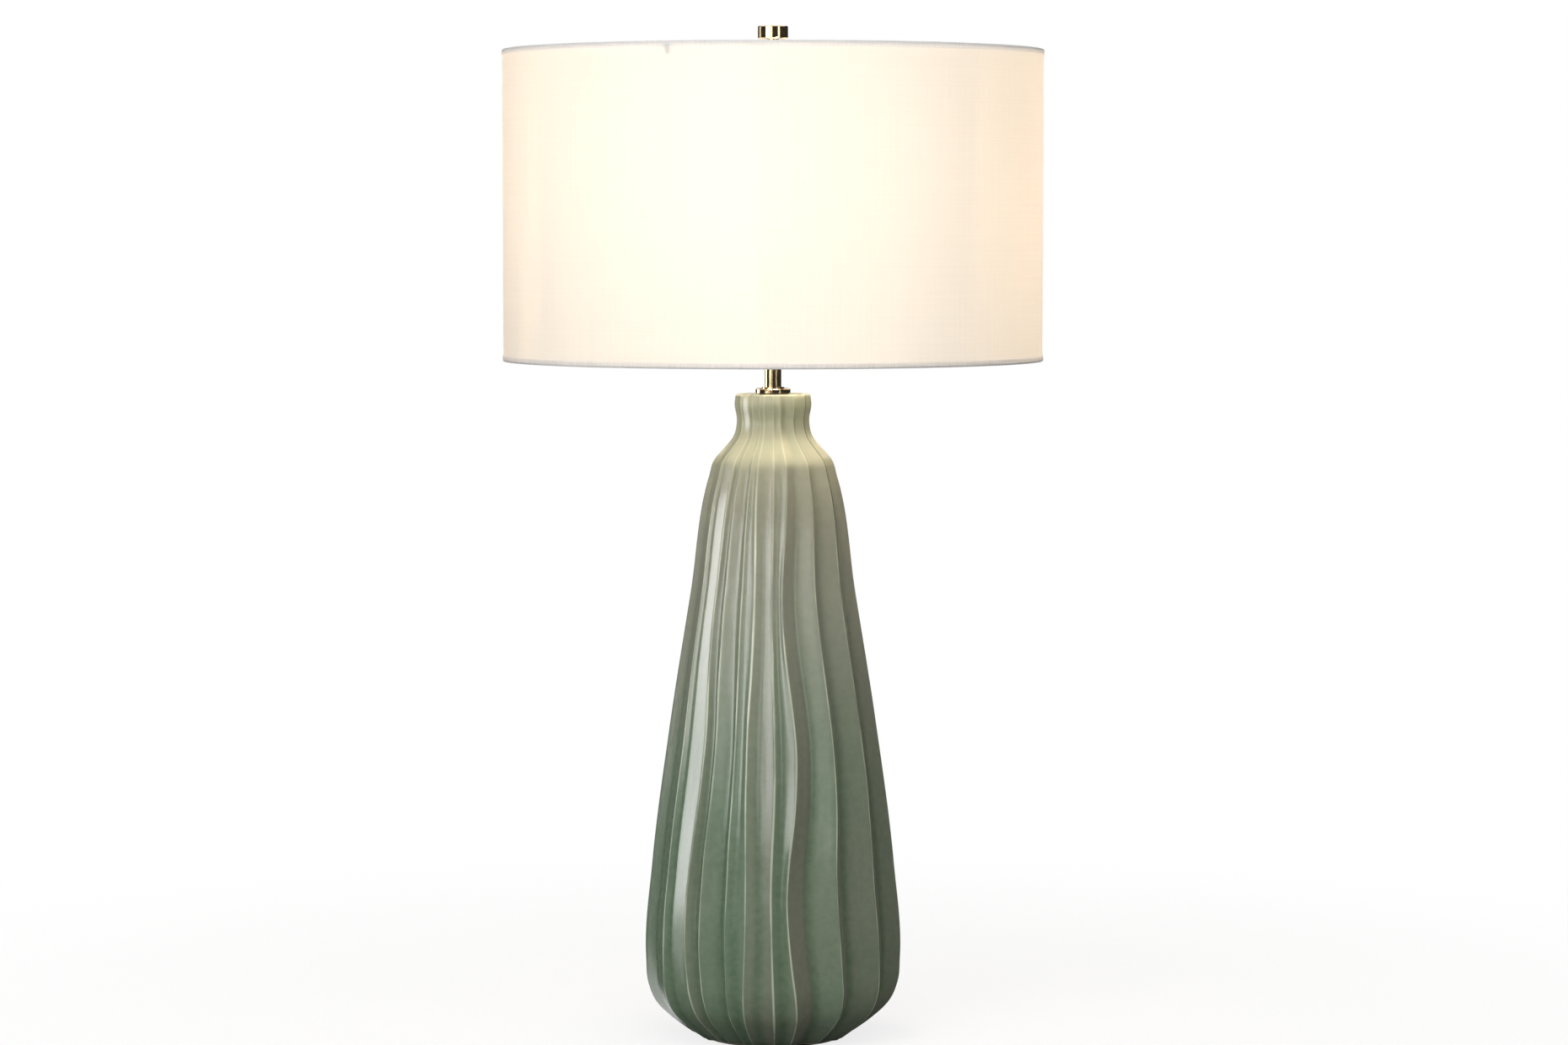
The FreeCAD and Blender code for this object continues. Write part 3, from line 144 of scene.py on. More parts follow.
def place_noise(tree, size, scale=(1, 1, 1), detail=3.0, roughness=0.5, outlet=0):
    """Noise on the piece's own coordinates; size is the blotches' width in metres."""
    where = add(tree, "ShaderNodeTexCoord", outlet=3)
    where = add(tree, "ShaderNodeMapping", Vector=where, Scale=scale)
    return add(tree, "ShaderNodeTexNoise", outlet=outlet, Vector=where, Scale=1 / size,
               Detail=detail, Roughness=roughness)


def add_bump(tree, shader, height, distance, strength=1.0):
    bump = add(tree, "ShaderNodeBump", Height=height, Distance=distance, Strength=strength)
    tree.links.new(bump, shader.inputs["Normal"])


def colour(red, green, blue):
    """A colour as a painter reads it, 0 to 255, turned into the light that a shader wants."""
    def light(value):
        value /= 255
        return value / 12.92 if value <= 0.04045 else ((value + 0.055) / 1.055) ** 2.4
    return (light(red), light(green), light(blue), 1.0)


print("material helpers ready")


# %% [markdown]
# ## Studio
# Everything stands on one pale floor. White all round could come from strong lamps, but they
# would wash out the lamp itself. So the floor and the sky are white for the rays that show them,
# and duller for the light that bounces back on the lamp, which keeps the underside of the body
# dark. Near the lamp the floor glows a little less, so that it still takes the lamp's shadow.

# %% Floor and sky
BOUNCE_GREY = 0.35
FLOOR_WHITE = 0.97
FLOOR_HALF_WIDTH = 60
GLOW_NEAR, GLOW_FAR = 0.80, 1.0
GLOW_FROM, GLOW_TO = 0.12, 1.2
SKY_LIGHT = 0.22

def shown_background(tree):
    """1 for rays that show the background: from the camera, in glass and in metal."""
    path = tree.nodes.new("ShaderNodeLightPath")
    shown = maths(tree, "MAXIMUM", path.outputs["Is Camera Ray"], path.outputs["Is Glossy Ray"])
    return maths(tree, "MAXIMUM", shown, path.outputs["Is Transmission Ray"])


floor_mesh = bmesh.new()
bmesh.ops.create_grid(floor_mesh, x_segments=1, y_segments=1, size=FLOOR_HALF_WIDTH)
floor_data = bpy.data.meshes.new("floor")
floor_mesh.to_mesh(floor_data)
floor_mesh.free()
floor = bpy.data.objects.new("floor", floor_data)
bpy.context.scene.collection.objects.link(floor)

floor_finish, tree, shader = start_material("floor_paper", Roughness=0.9)
shown = shown_background(tree)
shade_of_floor = blend_colour(tree, shown, (BOUNCE_GREY,) * 3 + (1,), (FLOOR_WHITE,) * 3 + (1,))
tree.links.new(shade_of_floor, shader.inputs["Base Color"])
shader.inputs["Specular IOR Level"].default_value = 0.0
glow = add(tree, "ShaderNodeEmission", Color=(1, 1, 1, 1), Strength=1.0)
away = add(tree, "ShaderNodeVectorMath", {"operation": "LENGTH"}, outlet=1,
           in_0=add(tree, "ShaderNodeTexCoord", outlet=3))
glow_share = ramp(tree, away, GLOW_FROM, GLOW_TO, GLOW_NEAR, GLOW_FAR)
mixed = add(tree, "ShaderNodeMixShader", in_1=shader.outputs[0], in_2=glow,
            in_0=maths(tree, "MULTIPLY", shown, glow_share))
tree.links.new(mixed, tree.nodes["Material Output"].inputs["Surface"])
floor_data.materials.append(floor_finish)

world = bpy.data.worlds.new("studio")
bpy.context.scene.world = world
world.use_nodes = True
tree = world.node_tree
tree.nodes.clear()
sky_strength = add(tree, "ShaderNodeMapRange", in_0=shown_background(tree), in_3=SKY_LIGHT,
                   in_4=1.0)
sky = add(tree, "ShaderNodeBackground", Color=(1, 1, 1, 1), Strength=sky_strength)
world_output = tree.nodes.new("ShaderNodeOutputWorld")
tree.links.new(sky, world_output.inputs["Surface"])
print("floor and sky ready")


# %% [markdown]
# ## Lights
# Glazed pleats are shown by what they mirror, so each lamp is a softbox with a size of its own
# instead of a bare bulb. The tall one stands at the left, a little behind the lamp, and lights up
# the row of pleats that faces it. The strip and the two small ones give the thin highlights in
# front, and the large ones light the whole body and the shade evenly. The list gives each
# softbox's brightness per area, which stays true when its size changes.

# %% Lamps
AIM_HEIGHT = 0.42

def softbox(name, bearing, elevation, distance, width, height, brightness):
    """Area lamp at a compass bearing from the front: minus is to the viewer's left."""
    data = bpy.data.lights.new(name, "AREA")
    data.shape = "RECTANGLE"
    data.size, data.size_y = width, height
    data.energy = math.pi * width * height * brightness
    lamp = bpy.data.objects.new(name, data)
    turn, lift = math.radians(bearing), math.radians(elevation)
    back = Vector((math.sin(turn) * math.cos(lift), -math.cos(turn) * math.cos(lift),
                   math.sin(lift)))
    lamp.location = Vector((0, 0, AIM_HEIGHT)) + back * distance
    lamp.rotation_euler = back.to_track_quat("Z", "Y").to_euler()
    bpy.context.scene.collection.objects.link(lamp)
    return lamp


SOFTBOXES = (
    # name, bearing and elevation in degrees, distance, width and height in metres, brightness
    ("tall_softbox", -115, -2, 2.2, 0.95, 1.0, 4.6),
    ("strip_softbox", -38, 7, 3.0, 1.75, 0.55, 7.5),
    ("overhead_softbox", -5, 42, 3.2, 2.4, 1.2, 5.0),
    ("left_softbox", -40, 26, 3.0, 1.4, 1.0, 3.8),
    ("right_softbox", 50, 30, 3.0, 1.4, 1.0, 2.6),
    ("middle_softbox", -11, 7, 3.0, 0.45, 0.55, 3.0),
    ("narrow_softbox", 46, 7, 3.0, 0.6, 0.6, 3.0),
)
for row in SOFTBOXES:
    softbox(*row)
print("softboxes:", len(SOFTBOXES))


# %% [markdown]
# ## Dark cards
# Polished brass looks like brass only where it mirrors something dark between bright strips. A
# photographer stands black cards round the set for that. Here they are one turned sheet, a floor
# disc with an upright wall, that only gloss and glass see. It has a gap behind the tall softbox,
# where the white floor and sky show. The sheet starts under the felt, so that the foot doesn't
# mirror white.

# %% Dark cards round the set
CARD_START, CARD_DISTANCE, CARD_HEIGHT = 0.05, 4.6, 4.2
CARD_LEVEL = 0.001
CARD_GAP = (-127, -105)
CARD_STEPS = 72
CARD_GLOW = (0.035, 0.035, 0.035, 1)

card_mesh = bmesh.new()
corners = [card_mesh.verts.new((0, -reach, level)) for reach, level in (
    (CARD_START, CARD_LEVEL), (CARD_DISTANCE, CARD_LEVEL), (CARD_DISTANCE, CARD_HEIGHT))]
card_edges = [card_mesh.edges.new(pair) for pair in zip(corners, corners[1:])]
bmesh.ops.rotate(card_mesh, cent=(0, 0, 0), verts=corners,
                 matrix=Matrix.Rotation(math.radians(CARD_GAP[1]), 3, "Z"))
bmesh.ops.spin(card_mesh, geom=corners + card_edges, cent=(0, 0, 0), axis=(0, 0, 1),
               angle=FULL_TURN + math.radians(CARD_GAP[0] - CARD_GAP[1]), steps=CARD_STEPS)
card_data = bpy.data.meshes.new("dark_cards")
card_mesh.to_mesh(card_data)
card_mesh.free()
cards = bpy.data.objects.new("dark_cards", card_data)
bpy.context.scene.collection.objects.link(cards)
cards.visible_camera = cards.visible_diffuse = cards.visible_shadow = False
card_finish, tree, shader = start_material("dark_card", Roughness=1.0)
tree.links.new(add(tree, "ShaderNodeEmission", Color=CARD_GLOW),
               tree.nodes["Material Output"].inputs["Surface"])
card_data.materials.append(card_finish)
print("dark cards:", len(card_data.polygons), "faces")


# %% [markdown]
# ## A net round the shade
# The bulb's light goes through two skins of cloth, which leaves bands in the picture when each
# skin casts a shadow of its own. So the cloth casts none, and this net outside it takes over:
# it is only seen by shadows. It lets less light out at the sides and back than in front. Both
# shares were fitted to the photograph's light.

# %% Net round the shade
NET_RADIUS, NET_LOW, NET_HIGH = 0.236, 0.572, 0.846
NET_PASS_FRONT, NET_PASS_SIDE = 0.60, 0.30
NET_STEPS = 96

net_mesh = bmesh.new()
net_ends = [net_mesh.verts.new((0, -NET_RADIUS, level)) for level in (NET_LOW, NET_HIGH)]
net_edge = net_mesh.edges.new(net_ends)
bmesh.ops.spin(net_mesh, geom=net_ends + [net_edge], cent=(0, 0, 0), axis=(0, 0, 1),
               angle=FULL_TURN, steps=NET_STEPS, use_merge=True)
net_data = bpy.data.meshes.new("studio_net")
net_mesh.to_mesh(net_data)
net_mesh.free()
net = bpy.data.objects.new("studio_net", net_data)
bpy.context.scene.collection.objects.link(net)
net.visible_camera = net.visible_diffuse = net.visible_glossy = net.visible_transmission = False
net_finish, tree, shader = start_material("studio_net")
toward_front = add(tree, "ShaderNodeSeparateXYZ", outlet=1,
                   in_0=add(tree, "ShaderNodeTexCoord", outlet=3))
passed = ramp(tree, toward_front, -NET_RADIUS, 0.0, NET_PASS_FRONT, NET_PASS_SIDE)
tree.links.new(add(tree, "ShaderNodeBsdfTransparent", Color=add(
    tree, "ShaderNodeCombineXYZ", in_0=passed, in_1=passed, in_2=passed)),
    tree.nodes["Material Output"].inputs["Surface"])
net_data.materials.append(net_finish)
print("net:", len(net_data.polygons), "faces")


# %% [markdown]
# ## The bulb's light
# The real lamp is photographed lit. Glowing glass alone gives a grainy picture, so a round lamp
# stands in the bulb's middle. The glass is opaque here, so the lamp is a ball wider than the
# glass. It stands a little to the right, which evens out the two sides of the shade.

# %% The bulb's light
BULB_HEIGHT = 0.718
BULB_SIDE = 0.006
BULB_LIGHT_RADIUS = 0.040
BULB_WATTS = 12.2
BULB_COLOUR = (1.0, 0.82, 0.60)
bulb_light_data = bpy.data.lights.new("bulb_light", "POINT")
bulb_light_data.energy = BULB_WATTS
bulb_light_data.color = BULB_COLOUR
bulb_light_data.shadow_soft_size = BULB_LIGHT_RADIUS
bulb_light = bpy.data.objects.new("bulb_light", bulb_light_data)
bulb_light.location = (BULB_SIDE, 0, BULB_HEIGHT)
bpy.context.scene.collection.objects.link(bulb_light)


# %% [markdown]
# ## From a bmesh to a piece
# Every new piece ends the same way: the bmesh becomes a mesh, the mesh an object at the origin,
# and the object rides on a body of the frame, hides the plain solids it replaces and takes the
# finishes it is given.

# %% Helper that finishes a piece
def finish_piece(mesh, name, body, stands_for, materials, sharp_angle=40):
    data = bpy.data.meshes.new(name)
    mesh.to_mesh(data)
    mesh.free()
    piece = bpy.data.objects.new(name, data)
    bpy.context.scene.collection.objects.link(piece)
    return settle_piece(piece, body, stands_for, materials, sharp_angle)


def settle_piece(piece, body, stands_for, materials, sharp_angle=40):
    data = piece.data
    for polygon in data.polygons:
        polygon.use_smooth = True
    data.set_sharp_from_angle(angle=math.radians(sharp_angle))
    data.materials.clear()
    for material in materials:
        data.materials.append(material)
    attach(piece, body)
    if stands_for:
        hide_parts(*stands_for)
    print(piece.name, "faces:", len(data.polygons))
    return piece


def turned(outline, steps):
    """Turn a closed outline of (radius, height) points in metres round the upright axis."""
    mesh = bmesh.new()
    corners = [mesh.verts.new((radius, 0, height)) for radius, height in outline]
    edges = [mesh.edges.new(pair) for pair in zip(corners, corners[1:] + corners[:1])]
    bmesh.ops.spin(mesh, geom=corners + edges, cent=(0, 0, 0), axis=(0, 0, 1),
                   angle=FULL_TURN, steps=steps, use_merge=True)
    bmesh.ops.recalc_face_normals(mesh, faces=mesh.faces[:])
    return mesh


print("piece helpers ready")


# %% [markdown]
# ## The pleated body: its plan
# The real body looks like stoneware, formed by hand into tall pleats and dipped in a pale green
# glaze. The pleats keep their bearing from rim to foot but sway a little, all at the same heights.
# Each could be sculpted, but then nothing could be changed by a number. Level sections are folds,
# a crest, a valley and the next crest, so the plan lists each crest, how much it sways, the valley
# that follows, how deep that valley is, and how brown the glaze is on the faces beside it. The
# pleats of the back are guessed.

# %% Plan of the pleats
PLEATS = (
    # crest bearing, sway, valley bearing, valley depth in mm, brown in the glaze on both faces
    (-88.0, 1.0, -73.0, 6.0, 0.3, 0.0),
    (-58.0, 0.8, -55.0, 4.5, 0.0, 0.2),
    (-41.5, 2.0, -37.0, 7.0, 0.6, 0.3),
    (-34.0, 1.3, -24.0, 7.0, 0.1, 0.0),
    (-21.5, 0.6, -17.5, 2.5, 0.1, 0.1),
    (-13.3, -0.8, -7.0, 2.5, 0.9, 0.9),
    (0.0, 0.9, 5.0, 5.0, 0.1, 0.3),
    (9.5, 3.0, 20.5, 13.0, 1.0, 0.2),
    (32.7, 1.8, 39.5, 9.5, 0.6, 0.4),
    (56.0, 1.2, 77.0, 14.0, 0.9, 0.7),
    (90.0, 2.0, 98.0, 6.0, 0.6, 0.2),
    (106.0, -1.5, 117.0, 9.0, 0.2, 0.0),
    (129.0, 1.5, 135.0, 6.0, 0.1, 0.4),
    (142.0, 1.0, 152.0, 8.0, 0.7, 0.5),
    (163.0, -1.0, 168.0, 5.0, 0.2, 0.1),
    (173.0, 1.5, 180.0, 3.0, 0.0, 0.3),
    (187.0, 0.8, 200.0, 10.0, 0.8, 0.4),
    (213.0, 2.0, 218.0, 6.0, 0.2, 0.2),
    (225.0, -1.0, 238.0, 11.0, 0.1, 0.6),
    (252.0, 1.5, 263.0, 7.0, 0.5, 0.2),
)
STATIONS = (
    # height above the foot and radius over the crests, in mm
    (0.0, 66.0), (12.0, 83.0), (26.0, 98.3), (44.0, 106.8), (66.0, 108.8), (150.0, 103.2),
    (265.0, 88.4), (380.0, 70.2), (478.0, 54.6), (492.0, 50.0), (502.0, 41.3), (511.0, 34.2),
    (525.0, 30.9), (539.0, 32.8), (547.5, 31.9),
)
BELLY = 108.8
FOOT_LEVEL = 2.0
WALL = 8.0
PLATE = 8.0
SWAY_WAVE, SWAY_LOW = 249.0, 121.0
TUBE_HOLE = 5.1
WOBBLE, WOBBLE_HEIGHT = 0.35, 45
print("pleats:", len(PLEATS), "stations:", len(STATIONS))


# %% [markdown]
# ## The pleated body: its outline
# Between two stations the outline is a Bezier curve whose handles follow the slope of the
# neighbours, so the flank is one sweep. Straight runs would show as bands in the glaze. Blender's
# own interpolate_bezier gives the points. The outline runs from the foot up the outside, over the
# rim to the hole in the top plate, and back down inside the wall.

# %% Outline of the wall
def slope_at(number):
    """Slope of the outline at a station, from the runs on both sides of it."""
    if number in (0, len(STATIONS) - 1):
        low, high = (0, 1) if number == 0 else (number - 1, number)
        return (STATIONS[high][1] - STATIONS[low][1]) / (STATIONS[high][0] - STATIONS[low][0])
    (z0, r0), (z1, r1), (z2, r2) = STATIONS[number - 1:number + 2]
    before, after = (r1 - r0) / (z1 - z0), (r2 - r1) / (z2 - z1)
    return (before * (z2 - z1) + after * (z1 - z0)) / (z2 - z0)


def outline_between(number, steps):
    (z0, r0), (z1, r1) = STATIONS[number:number + 2]
    third = (z1 - z0) / 3
    return geometry.interpolate_bezier(
        Vector((r0, z0, 0)), Vector((r0 + slope_at(number) * third, z0 + third, 0)),
        Vector((r1 - slope_at(number + 1) * third, z1 - third, 0)), Vector((r1, z1, 0)), steps)


STEP_HEIGHT = 6.0
outside = []
for number in range(len(STATIONS) - 1):
    rise = STATIONS[number + 1][0] - STATIONS[number][0]
    steps = max(5, math.ceil(rise / STEP_HEIGHT)) + 1
    outside += [(point.x, point.y) for point in outline_between(number, steps)[:-1]]
rim_radius, rim_height = STATIONS[-1][1], STATIONS[-1][0]
LIP = 1.2
outside[0] = (STATIONS[0][1] - 0.1, 0.9)
foot_edge = [(STATIONS[0][1] - WALL, 0.0), (STATIONS[0][1] - WALL / 2, 0.0),
             (STATIONS[0][1] - 1.2, 0.0), (STATIONS[0][1] - 0.5, 0.25)]
rim_edge = [(rim_radius, rim_height - LIP), (rim_radius - 0.35 * LIP, rim_height - 0.35 * LIP),
            (rim_radius - LIP, rim_height), (rim_radius - 3 * LIP, rim_height),
            (20.0, rim_height), (12.0, rim_height), (TUBE_HOLE, rim_height)]
inside = [(radius - WALL, height) for radius, height in outside[2:]
          if height < rim_height - PLATE - 2][::5]
ceiling = rim_height - PLATE
inside_top = [(TUBE_HOLE, ceiling), (12.0, ceiling), (rim_radius - WALL - 1.5, ceiling)]
wall_outline = foot_edge + outside + rim_edge + inside_top + inside[::-1]
OUTER_ROWS = len(foot_edge) + len(outside) + len(rim_edge)
print("points round the wall:", len(wall_outline), "of which outside:", OUTER_ROWS)


# %% [markdown]
# ## The pleated body: folding it
# The outline is spun into a plain round wall first. Then each column of its vertices is slid to
# its place on the folds: ten columns to a face, crowded near the corners, so that a crest is
# rounded like a thumb-pressed edge and a valley is a softer hollow. The faces between are
# slightly hollow. Each vertex also remembers how far it is from the nearest crest and valley.

# %% Fold one level section
CREST_ROUND = 1.5
VALLEY_ROUND = 3.2
HOLLOW = 0.006
COLUMNS_PER_FACE = 10
FACES = 2 * len(PLEATS)
COLUMNS = COLUMNS_PER_FACE * FACES

def section_corners(radius, height):
    """The crests and valleys of one level section, in order round the body, in mm."""
    swing = -math.cos(FULL_TURN * (height - SWAY_LOW) / SWAY_WAVE)
    corners = []
    for number, (crest, sway, valley, depth, *tones) in enumerate(PLEATS):
        for kind, (bearing, sunk) in enumerate(((crest, 0.0), (valley, depth * radius / BELLY))):
            spot = Vector((7.3 * number + 3.1 * kind, height / WOBBLE_HEIGHT, 0.5))
            wobble = WOBBLE * noise.noise(spot)
            turn = math.radians(bearing + sway * swing + wobble)
            reach = radius - sunk
            corners.append(Vector((reach * math.sin(turn), -reach * math.cos(turn), 0)))
    return corners


def round_corner(before, corner, after, reach, share):
    """Point of a parabola that rounds a corner; share 0.5 is its middle."""
    start = corner + (before - corner).normalized() * min(reach, (before - corner).length * 0.42)
    end = corner + (after - corner).normalized() * min(reach, (after - corner).length * 0.42)
    rest = 1 - share
    return start * rest * rest + corner * 2 * share * rest + end * share * share


def folded_section(radius, height):
    """Each column's point, with its distance from the nearest crest and valley and its tone."""
    corners = section_corners(radius, height)
    softness = min(1.0, radius / 45)
    placed = []
    for number, here in enumerate(corners):
        before, after = corners[number - 1], corners[(number + 1) % FACES]
        beyond = corners[(number + 2) % FACES]
        is_crest = number % 2 == 0
        reach = (CREST_ROUND if is_crest else VALLEY_ROUND) * softness
        next_reach = (VALLEY_ROUND if is_crest else CREST_ROUND) * softness
        width = (after - here).length
        inward = -Vector((here.x + after.x, here.y + after.y, 0)).normalized()
        points = [round_corner(before, here, after, reach, share) for share in (0.5, 0.66, 0.82, 1)]
        last = round_corner(here, after, beyond, next_reach, 0)
        for share in (0.25, 0.5, 0.75):
            sag = HOLLOW * width * 4 * share * (1 - share)
            points.append(points[3].lerp(last, share) + inward * sag)
        points += [last] + [round_corner(here, after, beyond, next_reach, share)
                            for share in (0.18, 0.34)]
        pleat, side = divmod(number, 2)
        tone = PLEATS[pleat][4 + side]
        for point in points:
            near, far = (point - here).length, (point - after).length
            crest_gap, valley_gap = (near, far) if is_crest else (far, near)
            placed.append((point, crest_gap, valley_gap, tone))
    return placed


print("columns:", COLUMNS)

# %% Spin the wall and fold it
body_mesh = bmesh.new()
row_mark = body_mesh.verts.layers.int.new("row")
crest_mark = body_mesh.verts.layers.float.new("crest_gap")
valley_mark = body_mesh.verts.layers.float.new("valley_gap")
tone_mark = body_mesh.verts.layers.float.new("tone")
inside_mark = body_mesh.verts.layers.float.new("inside")
outline_corners = []
for row, (radius, height) in enumerate(wall_outline):
    vertex = body_mesh.verts.new((radius, 0, height))
    vertex[row_mark] = row
    outline_corners.append(vertex)
outline_edges = [body_mesh.edges.new((a, b)) for a, b in
                 zip(outline_corners, outline_corners[1:] + outline_corners[:1])]
bmesh.ops.spin(body_mesh, geom=outline_corners + outline_edges, cent=(0, 0, 0), axis=(0, 0, 1),
               angle=FULL_TURN, steps=COLUMNS, use_merge=True)
sections = [folded_section(radius, height) for radius, height in wall_outline]
for vertex in body_mesh.verts:
    turn = math.atan2(vertex.co.y, vertex.co.x) / FULL_TURN
    row, column = vertex[row_mark], round(turn * COLUMNS) % COLUMNS
    point, crest_gap, valley_gap, tone = sections[row][column]
    vertex.co = Vector((point.x, point.y, vertex.co.z + FOOT_LEVEL)) * MM
    vertex[crest_mark], vertex[valley_mark], vertex[tone_mark] = crest_gap, valley_gap, tone
    vertex[inside_mark] = float(row >= OUTER_ROWS)
bmesh.ops.recalc_face_normals(body_mesh, faces=body_mesh.faces[:])
print("body vertices:", len(body_mesh.verts))


# %% [markdown]
# ## The glaze
# A celadon glaze is thin on sharp edges, where it breaks to a pale line, and thick in hollows,
# where it is a deeper green. It could be painted on an image, but the distances stored on the
# mesh steer it more exactly and at any size. Soft clouds of a greyer, browner tone drift over it.
# Towards the neck the body turns lighter and greyer and then olive: partly the glaze's tone and
# partly painted light, the bulb's warm glow on the upper body. The clay shows on the foot and
# inside.

# %% Glazed stoneware
glaze, tree, shader = start_material("celadon_glaze")
crest_gap = add(tree, "ShaderNodeAttribute", {"attribute_name": "crest_gap"}, outlet=2)
valley_gap = add(tree, "ShaderNodeAttribute", {"attribute_name": "valley_gap"}, outlet=2)
tone = add(tree, "ShaderNodeAttribute", {"attribute_name": "tone"}, outlet=2)
hidden = add(tree, "ShaderNodeAttribute", {"attribute_name": "inside"}, outlet=2)
clouds = place_noise(tree, 0.10, (1, 1, 0.35), detail=4)
mottle = place_noise(tree, 0.006, detail=3)
green, deep_green = colour(100, 119, 98), colour(76, 98, 74)
# The upper grey and the neck's olive are partly painted light: the bulb's warm glow on the upper
# body.
brown, upper_grey_and_glow = colour(116, 118, 103), colour(142, 141, 126)
pale_glaze, neck_olive_and_glow = colour(190, 195, 174), colour(146, 149, 126)
brown_share = maths(tree, "ADD", maths(tree, "MULTIPLY", tone, 0.75),
                    ramp(tree, clouds, 0.35, 0.75, -0.15, 0.35))
brown_share.node.use_clamp = True
surface = blend_colour(tree, brown_share, green, brown)
height = add(tree, "ShaderNodeSeparateXYZ", in_0=add(tree, "ShaderNodeTexCoord", outlet=3),
             outlet=2)
# Lighter and greyer towards the top: partly the glaze's tone, partly painted light from the bulb
# above.
surface = blend_colour(tree, ramp(tree, height, 0.16, 0.46, 0.0, 0.85), surface, upper_grey_and_glow)
deep = maths(tree, "MULTIPLY", ramp(tree, valley_gap, 0.0, 8.0, 0.6, 0.0),
             ramp(tree, height, 0.10, 0.42, 1.0, 0.25))
surface = blend_colour(tree, deep, surface, deep_green)
surface = blend_colour(tree, ramp(tree, mottle, 0.3, 0.7, 0.0, 0.05), surface, pale_glaze)
# Olive at the neck: partly the glaze's tone, partly the bulb's warm light painted in.
surface = blend_colour(tree, ramp(tree, height, 0.46, 0.545, 0.0, 0.9), surface, neck_olive_and_glow)
line_noise = place_noise(tree, 0.03, (1, 1, 0.4), detail=2)
line_width = ramp(tree, line_noise, 0.3, 0.7, 0.7, 1.5)
line = add(tree, "ShaderNodeMapRange", {"interpolation_type": "SMOOTHSTEP"}, in_0=crest_gap,
           in_1=maths(tree, "MULTIPLY", line_width, 0.3), in_2=line_width, in_3=0.75, in_4=0.0)
line = maths(tree, "MULTIPLY", line, ramp(tree, line_noise, 0.3, 0.65, 0.45, 1.0))
line = maths(tree, "MULTIPLY", line, ramp(tree, height, 0.40, 0.50, 1.0, 0.35))
surface = blend_colour(tree, line, surface, pale_glaze)
clay = maths(tree, "MAXIMUM", hidden, ramp(tree, height, 0.0022, 0.0030, 1.0, 0.0))
grit = place_noise(tree, 0.0012, detail=4)
clay_colour = blend_colour(tree, ramp(tree, grit, 0.3, 0.7), colour(196, 186, 168),
                           colour(176, 164, 146))
surface = blend_colour(tree, clay, surface, clay_colour)
tree.links.new(surface, shader.inputs["Base Color"])
gloss = add(tree, "ShaderNodeMapRange", in_0=mottle, in_3=0.16, in_4=0.24)
tree.links.new(maths(tree, "MAXIMUM", gloss, maths(tree, "MULTIPLY", clay, 0.8)),
               shader.inputs["Roughness"])
ripple = place_noise(tree, 0.018, (1, 1, 0.25), detail=2)
relief = maths(tree, "ADD", ripple, maths(tree, "MULTIPLY", grit, maths(
    tree, "ADD", maths(tree, "MULTIPLY", clay, 0.35), 0.015)))
add_bump(tree, shader, relief, 0.0008, 0.5)
print("glaze nodes:", len(tree.nodes))


# %% [markdown]
# ## The cord's hole
# At the back, near the foot, a round land is cut flat for the rubber bush and a hole goes through
# it, with a boss inside the wall. Three round bars and Boolean modifiers do what a potter would
# do with clay and a hollow punch.

# %% Cut the hole and settle the body
LAND_REACH, LAND_RADIUS = 98.5, 7.5
BOSS_RADIUS, BOSS_LENGTH = 12.0, 13.0
CORD_RADIUS, INLET_HEIGHT = 5.0, 42.0

def lying_cylinder(name, radius, start, end):
    """Round bar along the back axis, between two distances from the lamp's axis, in mm."""
    mesh = bmesh.new()
    bmesh.ops.create_cone(mesh, cap_ends=True, segments=48, radius1=radius, radius2=radius,
                          depth=end - start)
    place = Matrix.Translation((0, (start + end) / 2, INLET_HEIGHT)) @ Matrix.Rotation(
        math.pi / 2, 4, "X")
    bmesh.ops.transform(mesh, matrix=Matrix.Scale(MM, 4) @ place, verts=mesh.verts[:])
    data = bpy.data.meshes.new(name)
    mesh.to_mesh(data)
    mesh.free()
    return bpy.data.objects.new(name, data)


body_data = bpy.data.meshes.new("body_wall")
body_mesh.to_mesh(body_data)
body_mesh.free()
body_wall = bpy.data.objects.new("body_wall", body_data)
bpy.context.scene.collection.objects.link(body_wall)
cuts = (
    ("UNION", lying_cylinder("boss", BOSS_RADIUS, LAND_REACH - BOSS_LENGTH, LAND_REACH - 1)),
    ("DIFFERENCE", lying_cylinder("land", LAND_RADIUS, LAND_REACH, BELLY + 5)),
    ("DIFFERENCE", lying_cylinder("cord_hole", CORD_RADIUS, 70, BELLY + 6)),
)
for operation, cutter in cuts:
    bpy.context.scene.collection.objects.link(cutter)
    cut = body_wall.modifiers.new(cutter.name, "BOOLEAN")
    cut.operation = operation
    cut.object = cutter
    cut.solver = "EXACT"
    bpy.context.view_layer.update()
    carved = bpy.data.meshes.new_from_object(
        body_wall.evaluated_get(bpy.context.evaluated_depsgraph_get()))
    body_wall.modifiers.clear()
    body_wall.data = carved
    bpy.data.objects.remove(cutter)
body_wall.name = "glazed_body"
settle_piece(body_wall, "base", ["vase"], [glaze])
